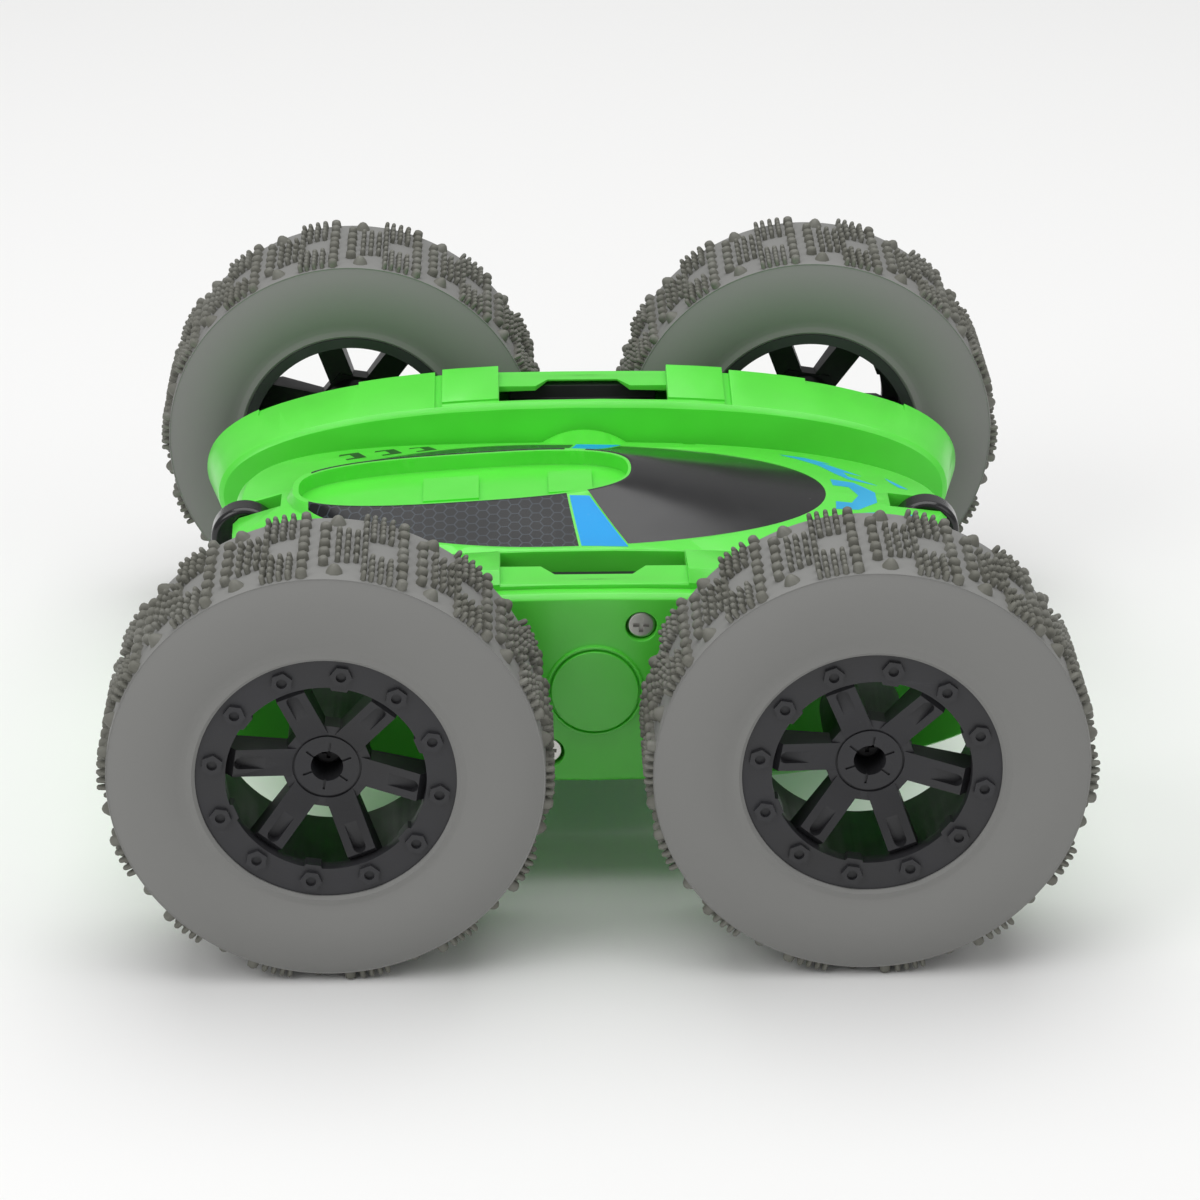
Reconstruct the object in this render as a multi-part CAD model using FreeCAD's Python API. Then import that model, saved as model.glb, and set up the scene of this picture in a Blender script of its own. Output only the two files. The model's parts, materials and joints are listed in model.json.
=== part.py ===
"""Remote-control stunt car: a thin double-sided body slung between two swinging wheel arms.

Units are millimetres. The ground is z = 0, +X is the front and +Y is the car's left. Every left-hand
piece is modelled once and mirrored in the plane y = 0 to make the right-hand one, and the body is
alike above and below the wheel-axle height. Each piece is written to parts/NODE.step.
"""
import FreeCAD, Part
import math
import os

from FreeCAD import Vector

# ---- driving sizes: wheels ---------------------------------------------------------------------
TYRE_RADIUS = 35.0            # over the tread
SHOULDER_RADIUS = 33.6        # where the tread turns into the sidewall
SHOULDER_HALF_WIDTH = 11.8
SIDEWALL_BULGE = 1.5          # how far the sidewall stands out past the shoulder
TYRE_WALL = 2.2
BEAD_RADIUS = 20.0            # outside of the rim's barrel, inside of the tyre
BEAD_HALF_WIDTH = 12.0
TREAD_SHOULDER_STEP = 1.2     # width of the rounded step from the shoulder up to the tread
BARREL_WALL = 1.8
FACE_RING_INNER_RADIUS = 15.4
FACE_RING_THICK = 3.0
SPOKE_COUNT = 6
SPOKE_WIDTH = 4.6
SPOKE_THICK = 3.4
SPOKE_SLOT_WIDTH = 2.0
SPOKE_SLOT_LENGTH = 6.6
SPOKE_SLOT_DEPTH = 0.5
SPOKE_PHASE = -21.0           # degrees the spokes lean from upright towards the front
SPOKE_DROP = 2.2              # how far the spoke's outer end sits below the face ring
HUB_RADIUS = 6.4
HUB_PLATE_ACROSS = 13.6       # hexagonal plate between the spokes
HUB_RING_RADIUS = 5.0
HUB_RING_GROOVE = 0.35
HUB_SLIT_WIDTH = 0.35
HUB_RECESS = 5.1              # depth of the hub's face below the rim's face
HUB_HOLE_RADIUS = 2.5
HUB_HOLE_DEPTH = 6.5
HUB_WEB = 2.3
RIM_BOLT_COUNT = 12
RIM_BOLT_CIRCLE = 17.5
RIM_BOLT_ACROSS = 3.0
RIM_BOLT_HEIGHT = 0.6
RIM_BOLT_PIT_RADIUS = 0.8
RIM_TAB_ACROSS = 4.0
WHEEL_INSET = 0.7             # running gap between the arm's axle boss and the wheel's hub

# ---- driving sizes: swinging arms ---------------------------------------------------------------
ARM_INNER_Y = 32.5            # face of the arm next to the body
ARM_SHOULDER_Y = 46.0         # where the arm is widest
ARM_JOINT_Y = 48.0            # parting line between housing and cover
ARM_OUTER_Y = 50.6
ARM_HALF_LENGTH = 67.6
ARM_HALF_HEIGHT = 19.0
ARM_ROUNDNESS = 2.3           # exponent of the side outline: 2 is an ellipse, more is squarer
ARM_TAPER_LENGTH = 2.8        # how much shorter the arm is at its inner face, each end
ARM_TAPER_HEIGHT = 1.9
ARM_EDGE = 0.9                # rounded edge at the inner face
ARM_SLOPE = 1.8               # fall of the outer shoulder down to the parting line
COVER_STEP = 0.5              # how far the cover is set in from the housing
COVER_EDGE = 0.9
COVER_POCKET = 0.8
ARM_WALL = 1.7
NOTCH_HALF_WIDTH = 15.0
NOTCH_DEPTH = 1.7
BLOCK_WIDTH = 10.0
BLOCK_HEIGHT = 0.4
GROOVE_WIDTH = 1.3
GROOVE_DEPTH = 0.7
SLOT_HALF_LENGTH = 14.9
SLOT_OUTER_Y = 40.6
SLOT_BAY_HALF_WIDTH = 6.2
SLOT_BAY_DEPTH = 3.3
SLOT_BAY_FLARE = 2.2
FLANK_POCKET_START = 40.0
FLANK_POCKET_LENGTH = 18.0
FLANK_POCKET_DEPTH = 0.5
CENTRE_BOSS_RADIUS = 7.8
CENTRE_DISC_RADIUS = 7.0
CENTRE_BOSS_HEIGHT = 0.6
CENTRE_DISC_HEIGHT = 0.8
CENTRE_GROOVE_WIDTH = 0.35
AXLE_BOSS_RADIUS = 5.0
AXLE_BOSS_LENGTH = 6.9
AXLE_INNER_BOSS = 3.6
ARM_SCREW_X = 7.4
ARM_SCREW_RISE = 11.0
ARM_SCREW_HEAD_RADIUS = 2.3
ARM_SCREW_HEAD_HEIGHT = 1.3
ARM_SCREW_RADIUS = 0.9
ARM_SCREW_BOSS_RADIUS = 1.9
ARM_SCREW_DEPTH = 2.0         # depth of the recess over each screw head
ARM_SCREW_LENGTH = 9.0
PIVOT_RADIUS = 8.6
PIVOT_FLANGE = 1.6            # flange that keeps the arm in the body, height and thickness
PIVOT_END_Y = 19.8

# ---- driving sizes: drive train -----------------------------------------------------------------
FINE_MODULE = 0.5
COARSE_MODULE = 0.6
PINION_TEETH = 10
REDUCER_LARGE_TEETH = 36
REDUCER_SMALL_TEETH = 12
IDLER_TEETH = 27
WHEEL_GEAR_TEETH = 35
ADDENDUM = 0.8                # in modules
DEDENDUM = 1.15
TOOTH_SHARE = 0.43            # share of the circular pitch that the tooth fills
PRESSURE_ANGLE = 20.0
GEAR_GAP = 0.8                # side clearance beside the gears
FINE_FACE = 2.8
COARSE_FACE = 4.2
PIN_RADIUS = 0.75
AXLE_RADIUS = 2.0
MOTOR_RADIUS = 6.0
MOTOR_FLAT = 5.0
MOTOR_LENGTH = 14.0
MOTOR_SHAFT_RADIUS = 0.5
MOTOR_BOSS_RADIUS = 1.6
FRAME_PLATE = 1.6
FRAME_HALF_LENGTH = 27.0
FRAME_WALL = 1.4
FRAME_WALL_HALF_LENGTH = 13.0
FRAME_HALF_HEIGHT = 13.9
FRAME_UPSTAND_HEIGHT = 16.2   # edge of the frame that closes off the slots, above the axle height

# ---- driving sizes: body ------------------------------------------------------------------------
BODY_HALF_WIDTH = 31.5
BODY_REAR_LENGTH = 60.0
BODY_FRONT_LENGTH = 61.0
BODY_REAR_ROUNDNESS = 3.6     # exponent of the outline: 2 is an ellipse, more is squarer
BODY_FRONT_ROUNDNESS = 2.15
BODY_RIM_RISE = 9.4           # height of the vertical side above the axle height
BODY_RIM_EDGE = 1.1
CANOPY_RISE = 13.0
CANOPY_CENTRE_X = -10.0
CANOPY_HALF_WIDTH = 23.5
CANOPY_FRONT_LENGTH = 51.0
CANOPY_REAR_LENGTH = 41.0
CANOPY_FRONT_ROUNDNESS = 2.1
CANOPY_REAR_ROUNDNESS = 1.8
ROOF_RISE = 18.0
ROOF_LEAN = 3.4               # degrees the cockpit sinks towards the rear
COCKPIT_CENTRE_X = -20.0
COCKPIT_HALF_WIDTH = 10.3
COCKPIT_FRONT_LENGTH = 26.8
COCKPIT_REAR_LENGTH = 29.0
COCKPIT_FRONT_ROUNDNESS = 2.8
COCKPIT_REAR_ROUNDNESS = 2.8
COCKPIT_DEPTH = 2.6
COCKPIT_LIP = 1.0
BODY_WALL = 1.8
CAVITY_RISE = 11.0
SEAT_BLOCKS = ((-28.0, -18.6, 5.0), (-6.8, 0.6, 4.6))    # start x, end x, half width
SEAT_BLOCK_HEIGHT = 0.8
WINDOW_THICK = 1.2
WINDOW_INSET = 0.6
PILLAR_TOP_X = (-3.7, 0.2)    # rear and front edge of the pillar at the cockpit
PILLAR_FOOT_X = (-1.8, 7.0)   # rear and front edge of the pillar at the canopy's foot
PILLAR_TOP_Y = 10.0
SIDE_WINDOW_REAR_X = -47.0
RIM_NOTCH_X = 18.5
RIM_NOTCH_WIDTH = 2.2
RIM_NOTCH_DEPTH = 1.4
COLLAR_RADIUS = 12.7
COLLAR_INNER_Y = 22.0
COLLAR_OUTER_Y = 31.9
ROLLER_RADIUS = 5.7
ROLLER_WIDTH = 5.0
ROLLER_EDGE = 1.0
ROLLER_FRONT_X = 57.5
ROLLER_REAR_X = -58.2
ROLLER_RISE = 6.2
ROLLER_SIDE_GAP = 0.4
ROLLER_PIN_RADIUS = 1.0
ROLLER_CHEEK = 3.4
BODY_SCREW_PLACES = ((33.0, 19.5), (-43.0, 20.5))
BODY_SCREW_HEAD_RADIUS = 2.2
BODY_SCREW_HEAD_HEIGHT = 1.4
BODY_SCREW_RADIUS = 1.1
BODY_SCREW_BOSS_RADIUS = 3.2
BODY_SCREW_SINK = 2.6
BATTERY_SIZE = (27.0, 26.0, 11.0)
BATTERY_CENTRE_X = -23.0
BATTERY_EDGE = 2.0
BATTERY_DOOR_SIZE = (24.0, 14.0, 1.2)
BATTERY_DOOR_CENTRE_X = -21.5
BOARD_SIZE = (30.0, 24.0, 1.6)
BOARD_CENTRE_X = 31.0
BOARD_POST_RADIUS = 1.8
SWITCH_STEM = (3.0, 2.6)
SWITCH_BASE = (9.0, 5.4, 1.2)
SWITCH_TRAVEL = 3.0
SWITCH_X = -4.5
SWITCH_PROUD = 0.8

# ---- named clearances ---------------------------------------------------------------------------
RUNNING = 0.05                # radial clearance of a shaft in its bore
MOVING_GAP = 0.6              # clearance between pieces that pass each other
DOOR_GAP = 0.15
PLAY = 0.2                    # side play of pins and stems

# ---- places that follow from the sizes above ----------------------------------------------------
AXLE_Z = TYRE_RADIUS
SLOT_INNER_Y = ARM_INNER_Y + ARM_WALL
REDUCER_X = FINE_MODULE * (PINION_TEETH + REDUCER_LARGE_TEETH) / 2
IDLER_X = REDUCER_X + COARSE_MODULE * (REDUCER_SMALL_TEETH + IDLER_TEETH) / 2
AXLE_X = IDLER_X + COARSE_MODULE * (IDLER_TEETH + WHEEL_GEAR_TEETH) / 2
GEAR_FLOOR_Y = ARM_INNER_Y + ARM_WALL
FINE_Y = GEAR_FLOOR_Y + GEAR_GAP
COARSE_Y = FINE_Y + FINE_FACE + GEAR_GAP
COARSE_END_Y = COARSE_Y + COARSE_FACE
FRAME_Y = COARSE_END_Y + GEAR_GAP
AXLE_BOSS_END_Y = ARM_OUTER_Y + AXLE_BOSS_LENGTH
WHEEL_BACK_Y = AXLE_BOSS_END_Y + WHEEL_INSET
WHEEL_Y = WHEEL_BACK_Y + BEAD_HALF_WIDTH + PLAY
RIM_FACE_Y = WHEEL_Y + BEAD_HALF_WIDTH
HUB_FACE_Y = RIM_FACE_Y - HUB_RECESS
HUB_SEAT_Y = HUB_FACE_Y - HUB_HOLE_DEPTH
AXLE_END_Y = HUB_SEAT_Y - HUB_WEB
OUTLINE_POINTS = 40


def cylinder_y(radius, start, end, x=0.0, z=AXLE_Z):
    """Round bar along Y from start to end, centred on (x, z)."""
    return Part.makeCylinder(radius, end - start, Vector(x, start, z), Vector(0, 1, 0))


def cylinder_z(radius, start, end, x, y):
    """Upright round bar from start to end, centred on (x, y)."""
    return Part.makeCylinder(radius, end - start, Vector(x, y, start))


def block(x_span, y_span, z_span):
    """Box between two limits on each axis."""
    corner = Vector(x_span[0], y_span[0], z_span[0])
    return Part.makeBox(x_span[1] - x_span[0], y_span[1] - y_span[0], z_span[1] - z_span[0], corner)


def around(centre, size):
    """Pair of limits for a size centred on a place."""
    return (centre - size / 2, centre + size / 2)


def prism_z(points, start, end):
    """Upright prism over a plan polygon."""
    wire = Part.makePolygon([Vector(x, y, start) for x, y in points + points[:1]])
    return Part.Face(wire).extrude(Vector(0, 0, end - start))


def hexagon_y(across, start, end, x, z, turn):
    """Hexagonal bar along Y."""
    radius = across / math.sqrt(3)
    corners = []
    for corner in range(7):
        angle = math.radians(60 * corner + turn)
        corners.append(Vector(x + radius * math.cos(angle), start, z + radius * math.sin(angle)))
    return Part.Face(Part.makePolygon(corners)).extrude(Vector(0, end - start, 0))


def mirror_side(shape):
    """Right-hand copy of a left-hand piece."""
    return shape.mirror(Vector(0, 0, 0), Vector(0, 1, 0))


def mirror_height(shape):
    """Copy of a piece below the axle height."""
    return shape.mirror(Vector(0, 0, AXLE_Z), Vector(0, 0, 1))


def write(node, shape):
    """Save one piece, or one group of like pieces, under its node name."""
    shape.exportStep(os.path.join("parts", node + ".step"))


# ---- wheels -------------------------------------------------------------------------------------
def tyre(x):
    """Hollow rubber tyre, open towards the rim between its beads."""
    side = SHOULDER_HALF_WIDTH
    bulge_y = side + SIDEWALL_BULGE
    middle_radius = (BEAD_RADIUS + SHOULDER_RADIUS) / 2
    tread_y = side - TREAD_SHOULDER_STEP

    def place(offset, radius):
        return Vector(x, WHEEL_Y + offset, AXLE_Z + radius)

    edges = []
    edges.append(Part.LineSegment(place(-tread_y, TYRE_RADIUS), place(tread_y, TYRE_RADIUS)))
    edges.append(Part.LineSegment(place(tread_y, TYRE_RADIUS), place(side, SHOULDER_RADIUS)))
    edges.append(Part.Arc(place(side, SHOULDER_RADIUS), place(bulge_y, middle_radius),
                          place(BEAD_HALF_WIDTH, BEAD_RADIUS)))
    inner_y = BEAD_HALF_WIDTH - TYRE_WALL
    inner_radius = SHOULDER_RADIUS - TYRE_WALL
    edges.append(Part.LineSegment(place(BEAD_HALF_WIDTH, BEAD_RADIUS), place(inner_y, BEAD_RADIUS)))
    edges.append(Part.LineSegment(place(inner_y, BEAD_RADIUS), place(inner_y, inner_radius)))
    edges.append(Part.LineSegment(place(inner_y, inner_radius), place(-inner_y, inner_radius)))
    edges.append(Part.LineSegment(place(-inner_y, inner_radius), place(-inner_y, BEAD_RADIUS)))
    edges.append(Part.LineSegment(place(-inner_y, BEAD_RADIUS), place(-BEAD_HALF_WIDTH, BEAD_RADIUS)))
    edges.append(Part.Arc(place(-BEAD_HALF_WIDTH, BEAD_RADIUS), place(-bulge_y, middle_radius),
                          place(-side, SHOULDER_RADIUS)))
    edges.append(Part.LineSegment(place(-side, SHOULDER_RADIUS), place(-tread_y, TYRE_RADIUS)))
    face = Part.Face(Part.Wire([edge.toShape() for edge in edges]))
    return face.revolve(Vector(x, WHEEL_Y, AXLE_Z), Vector(0, 1, 0), 360)


def spoke(x):
    """One upright spoke with its inset slot, running from the hub out under the face ring."""
    ring_back_y = RIM_FACE_Y - FACE_RING_THICK
    outer_y = ring_back_y - SPOKE_DROP + SPOKE_THICK
    inner_radius = HUB_RADIUS - 1.5
    outer_radius = BEAD_RADIUS - BARREL_WALL / 2
    half = SPOKE_WIDTH / 2
    side_outline = [(HUB_FACE_Y - SPOKE_THICK, inner_radius), (HUB_FACE_Y, inner_radius),
                    (outer_y, FACE_RING_INNER_RADIUS - 1.2), (ring_back_y, FACE_RING_INNER_RADIUS),
                    (ring_back_y, outer_radius), (ring_back_y - SPOKE_THICK, outer_radius)]
    corners = [Vector(x - half, y, AXLE_Z + r) for y, r in side_outline + side_outline[:1]]
    arm = Part.Face(Part.makePolygon(corners)).extrude(Vector(SPOKE_WIDTH, 0, 0))
    slot_middle = (HUB_RADIUS + FACE_RING_INNER_RADIUS) / 2
    rise = (outer_y - HUB_FACE_Y) / (FACE_RING_INNER_RADIUS - 1.2 - inner_radius)
    slot_y = HUB_FACE_Y + rise * (slot_middle - inner_radius)
    reach = (SPOKE_SLOT_LENGTH - SPOKE_SLOT_WIDTH) / 2
    slot = block(around(x, SPOKE_SLOT_WIDTH), (slot_y - SPOKE_SLOT_DEPTH, slot_y + SPOKE_THICK),
                 (AXLE_Z + slot_middle - reach, AXLE_Z + slot_middle + reach))
    for end in (-reach, reach):
        slot = slot.fuse(cylinder_y(SPOKE_SLOT_WIDTH / 2, slot_y - SPOKE_SLOT_DEPTH,
                                    slot_y + SPOKE_THICK, x, AXLE_Z + slot_middle + end))
    return arm.cut(slot)


def rim(x):
    """Spoked rim: barrel, face ring with moulded bolt heads, spokes and hub."""
    barrel = cylinder_y(BEAD_RADIUS, WHEEL_Y - BEAD_HALF_WIDTH, RIM_FACE_Y - RIM_BOLT_HEIGHT, x)
    hollow = cylinder_y(BEAD_RADIUS - BARREL_WALL, WHEEL_Y - BEAD_HALF_WIDTH - 1,
                        RIM_FACE_Y - FACE_RING_THICK, x)
    window = cylinder_y(FACE_RING_INNER_RADIUS, RIM_FACE_Y - FACE_RING_THICK - 1, RIM_FACE_Y + 1, x)
    shape = barrel.cut(hollow).cut(window)
    additions = [cylinder_y(HUB_RADIUS, WHEEL_BACK_Y, HUB_FACE_Y, x),
                 hexagon_y(HUB_PLATE_ACROSS, HUB_FACE_Y - SPOKE_THICK, HUB_FACE_Y, x, AXLE_Z,
                           90 - SPOKE_PHASE)]
    pits = []
    axis = Vector(0, 1, 0)
    centre = Vector(x, 0, AXLE_Z)
    for number in range(SPOKE_COUNT):
        arm = spoke(x)
        arm.rotate(centre, axis, SPOKE_PHASE + 360.0 * number / SPOKE_COUNT)
        additions.append(arm)
    for number in range(RIM_BOLT_COUNT):
        turn = SPOKE_PHASE + 360.0 * number / RIM_BOLT_COUNT
        ring_back = RIM_FACE_Y - FACE_RING_THICK
        place_z = AXLE_Z + RIM_BOLT_CIRCLE
        head = hexagon_y(RIM_BOLT_ACROSS, ring_back, RIM_FACE_Y, x, place_z, 0)
        pit = cylinder_y(RIM_BOLT_PIT_RADIUS, RIM_FACE_Y - RIM_BOLT_HEIGHT, RIM_FACE_Y + 1, x, place_z)
        for item, group in ((head, additions), (pit, pits)):
            item.rotate(centre, axis, turn)
            group.append(item)
        if number % 2:
            tab = hexagon_y(RIM_TAB_ACROSS, ring_back, RIM_FACE_Y - RIM_BOLT_HEIGHT, x, place_z - 0.6, 0)
            tab.rotate(centre, axis, turn)
            additions.append(tab)
    ring_groove = cylinder_y(HUB_RING_RADIUS + HUB_RING_GROOVE, HUB_FACE_Y - HUB_RING_GROOVE,
                             HUB_FACE_Y + 1, x)
    pits.append(ring_groove.cut(cylinder_y(HUB_RING_RADIUS, WHEEL_BACK_Y, RIM_FACE_Y, x)))
    for number in range(SPOKE_COUNT):
        slit = block(around(x, HUB_SLIT_WIDTH), (HUB_FACE_Y - HUB_RING_GROOVE, HUB_FACE_Y + 1),
                     (AXLE_Z, AXLE_Z + HUB_RING_RADIUS - 1))
        slit.rotate(centre, axis, SPOKE_PHASE + 360.0 * (number + 0.5) / SPOKE_COUNT)
        pits.append(slit)
    shape = shape.fuse(additions)
    bore = cylinder_y(AXLE_RADIUS, WHEEL_BACK_Y - 1, AXLE_END_Y, x)
    screw_hole = cylinder_y(ARM_SCREW_RADIUS + RUNNING, AXLE_END_Y, HUB_SEAT_Y, x)
    mouth = cylinder_y(HUB_HOLE_RADIUS, HUB_SEAT_Y, HUB_FACE_Y + 1, x)
    return shape.cut(Part.Compound(pits)).cut(bore.fuse([screw_hole, mouth]))


def cross_recess(radius, y, depth, x, z):
    """Cross-shaped driver recess cut into a screw head from its outer face at y."""
    arm = radius * 1.1
    thick = radius * 0.3
    first = block(around(x, arm), (y - depth, y + 1), around(z, thick))
    return first.fuse(block(around(x, thick), (y - depth, y + 1), around(z, arm)))


def screw_y(head_radius, head_height, radius, seat_y, length, x, z):
    """Cross-head screw along Y with the underside of its head at seat_y."""
    head = cylinder_y(head_radius, seat_y, seat_y + head_height, x, z)
    head = head.makeFillet(head_height * 0.35, [head.Edges[0]])
    shape = head.fuse(cylinder_y(radius, seat_y - length, seat_y, x, z))
    return shape.cut(cross_recess(head_radius, seat_y + head_height, head_height * 0.6, x, z))


def wheel_screw(x):
    """Screw that clamps the rim to the end of the axle."""
    head_radius = HUB_HOLE_RADIUS - 2 * PLAY
    return screw_y(head_radius, ARM_SCREW_HEAD_HEIGHT, ARM_SCREW_RADIUS, HUB_SEAT_Y, 2 * HUB_WEB + 2,
                   x, AXLE_Z)


def axle(x):
    """Steel axle from the housing's inner boss to the rim, tapped for the wheel screw."""
    start = ARM_INNER_Y + ARM_WALL / 2
    bar = cylinder_y(AXLE_RADIUS, start, AXLE_END_Y, x)
    return bar.cut(cylinder_y(ARM_SCREW_RADIUS, HUB_SEAT_Y - 2 * HUB_WEB - 2, AXLE_END_Y + 1, x))


# ---- gears --------------------------------------------------------------------------------------
def gear(module, teeth, tooth_angle, start, end, x):
    """Spur gear about an axis along Y, with one tooth centred on tooth_angle (degrees from +X to +Z)."""
    pitch_radius = module * teeth / 2
    base_radius = pitch_radius * math.cos(math.radians(PRESSURE_ANGLE))
    tip_radius = pitch_radius + ADDENDUM * module
    root_radius = pitch_radius - DEDENDUM * module

    def involute(radius):
        angle = math.acos(min(1.0, base_radius / radius))
        return math.tan(angle) - angle

    half_at_pitch = math.pi * TOOTH_SHARE / teeth
    flank_start = max(base_radius, root_radius)
    radii = [flank_start + (tip_radius - flank_start) * step / 3 for step in range(4)]
    flank = [(root_radius, half_at_pitch + involute(pitch_radius) - involute(flank_start))]
    for radius in radii:
        flank.append((radius, half_at_pitch + involute(pitch_radius) - involute(radius)))
    if root_radius >= base_radius:
        flank = flank[1:]
    corners = []
    for number in range(teeth):
        middle = math.radians(tooth_angle) + 2 * math.pi * number / teeth
        outline = [(radius, -half) for radius, half in flank]
        outline += [(radius, half) for radius, half in reversed(flank)]
        for radius, offset in outline:
            angle = middle + offset
            corners.append(Vector(x + radius * math.cos(angle), start, AXLE_Z + radius * math.sin(angle)))
    corners.append(corners[0])
    return Part.Face(Part.makePolygon(corners)).extrude(Vector(0, end - start, 0))


def gap_towards(teeth, angle):
    """Tooth angle that leaves a gap facing the given direction."""
    return angle + 180.0 / teeth


def motor_pinion():
    """Brass pinion on the motor's shaft."""
    teeth = gear(FINE_MODULE, PINION_TEETH, 0.0, FINE_Y, FINE_Y + FINE_FACE, 0.0)
    return teeth.fuse(cylinder_y(MOTOR_SHAFT_RADIUS, PIVOT_END_Y + MOTOR_LENGTH / 2, FINE_Y))


def reducer_gear(side):
    """Compound gear: large wheel on the pinion, small wheel on the idler; side is +1 front, -1 rear."""
    x = side * REDUCER_X
    inward = 180.0 if side > 0 else 0.0
    large = gear(FINE_MODULE, REDUCER_LARGE_TEETH, gap_towards(REDUCER_LARGE_TEETH, inward),
                 FINE_Y, FINE_Y + FINE_FACE, x)
    small = gear(COARSE_MODULE, REDUCER_SMALL_TEETH, 180.0 - inward,
                 FINE_Y + FINE_FACE, COARSE_END_Y, x)
    return large.fuse(small).cut(cylinder_y(PIN_RADIUS + RUNNING, FINE_Y - 1, COARSE_END_Y + 1, x))


def idler_gear(side):
    """Idler between the compound gear and the wheel gear."""
    x = side * IDLER_X
    inward = 180.0 if side > 0 else 0.0
    shape = gear(COARSE_MODULE, IDLER_TEETH, gap_towards(IDLER_TEETH, inward), COARSE_Y, COARSE_END_Y, x)
    pitch_radius = COARSE_MODULE * IDLER_TEETH / 2
    dish = cylinder_y(pitch_radius * 0.78, COARSE_END_Y - 1.2, COARSE_END_Y + 1, x)
    dish = dish.cut(cylinder_y(PIN_RADIUS * 3.2, COARSE_END_Y - 2, COARSE_END_Y + 2, x))
    return shape.cut(dish).cut(cylinder_y(PIN_RADIUS + RUNNING, COARSE_Y - 1, COARSE_END_Y + 1, x))


def wheel_gear(side):
    """Final gear, pressed on the axle."""
    x = side * AXLE_X
    inward = 180.0 if side > 0 else 0.0
    shape = gear(COARSE_MODULE, WHEEL_GEAR_TEETH, gap_towards(WHEEL_GEAR_TEETH, inward),
                 COARSE_Y, COARSE_END_Y, x)
    pitch_radius = COARSE_MODULE * WHEEL_GEAR_TEETH / 2
    dish = cylinder_y(pitch_radius * 0.8, COARSE_END_Y - 1.2, COARSE_END_Y + 1, x)
    dish = dish.cut(cylinder_y(AXLE_RADIUS * 2, COARSE_END_Y - 2, COARSE_END_Y + 2, x))
    hub = cylinder_y(AXLE_RADIUS * 2, COARSE_END_Y, ARM_JOINT_Y - GEAR_GAP, x)
    return shape.cut(dish).fuse(hub).cut(cylinder_y(AXLE_RADIUS, COARSE_Y - 1, ARM_JOINT_Y, x))


def gear_pins():
    """Four steel pins that carry the compound gears and the idlers."""
    pins = []
    for x in (-IDLER_X, -REDUCER_X, REDUCER_X, IDLER_X):
        pins.append(cylinder_y(PIN_RADIUS, ARM_INNER_Y + ARM_WALL / 2, FRAME_Y + FRAME_PLATE, x))
    return Part.Compound(pins)


def motor():
    """Small can motor with two flats, seated in the pivot tube."""
    can = cylinder_y(MOTOR_RADIUS, PIVOT_END_Y, PIVOT_END_Y + MOTOR_LENGTH)
    flats = block(around(0, 4 * MOTOR_RADIUS), (PIVOT_END_Y, PIVOT_END_Y + MOTOR_LENGTH),
                  around(AXLE_Z, 2 * MOTOR_FLAT))
    can = can.common(flats)
    nose = cylinder_y(MOTOR_BOSS_RADIUS, PIVOT_END_Y + MOTOR_LENGTH, GEAR_FLOOR_Y)
    shape = can.fuse(nose)
    return shape.cut(cylinder_y(MOTOR_SHAFT_RADIUS + RUNNING, PIVOT_END_Y + MOTOR_LENGTH / 2 - PLAY,
                                GEAR_FLOOR_Y + 1))


# ---- arms ---------------------------------------------------------------------------------------
def oval_wire(y, half_length, half_height):
    """Closed super-ellipse in the plane y, centred on the axle height."""
    points = []
    for number in range(OUTLINE_POINTS):
        angle = 2 * math.pi * (number + 0.5) / OUTLINE_POINTS
        cosine = math.cos(angle)
        sine = math.sin(angle)
        x = math.copysign(half_length * abs(cosine) ** (2 / ARM_ROUNDNESS), cosine)
        z = math.copysign(half_height * abs(sine) ** (2 / ARM_ROUNDNESS), sine)
        points.append(Vector(x, y, AXLE_Z + z))
    curve = Part.BSplineCurve()
    curve.interpolate(Points=points, PeriodicFlag=True)
    return Part.Wire([curve.toShape()])


def oval_loft(stations):
    """Solid through ovals; stations are (y, inset from full length, inset from full height)."""
    wires = []
    for y, length_inset, height_inset in stations:
        wires.append(oval_wire(y, ARM_HALF_LENGTH - length_inset, ARM_HALF_HEIGHT - height_inset))
    return Part.makeLoft(wires, True, True)


def housing_form(inset, start, end):
    """Outer form of the arm's housing, or a smaller copy of it set in by inset."""
    edge_y = ARM_INNER_Y + ARM_EDGE
    blend = (start - edge_y) / (ARM_SHOULDER_Y - edge_y) if start > edge_y else 0.0
    stations = []
    if start <= ARM_INNER_Y:
        stations.append((start, ARM_TAPER_LENGTH + ARM_EDGE + inset, ARM_TAPER_HEIGHT + ARM_EDGE + inset))
        stations.append((edge_y, ARM_TAPER_LENGTH + inset, ARM_TAPER_HEIGHT + inset))
    else:
        stations.append((start, ARM_TAPER_LENGTH * (1 - blend) + inset,
                         ARM_TAPER_HEIGHT * (1 - blend) + inset))
    stations.append((ARM_SHOULDER_Y, inset, inset))
    stations.append((ARM_JOINT_Y, 0.2 + inset, ARM_SLOPE + inset))
    if end > ARM_JOINT_Y:
        stations.append((end, 0.2 + inset, ARM_SLOPE + inset))
    return oval_loft(stations)


def both_heights(shape):
    """A shape together with its copy below the axle height."""
    return shape.fuse(mirror_height(shape))


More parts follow.
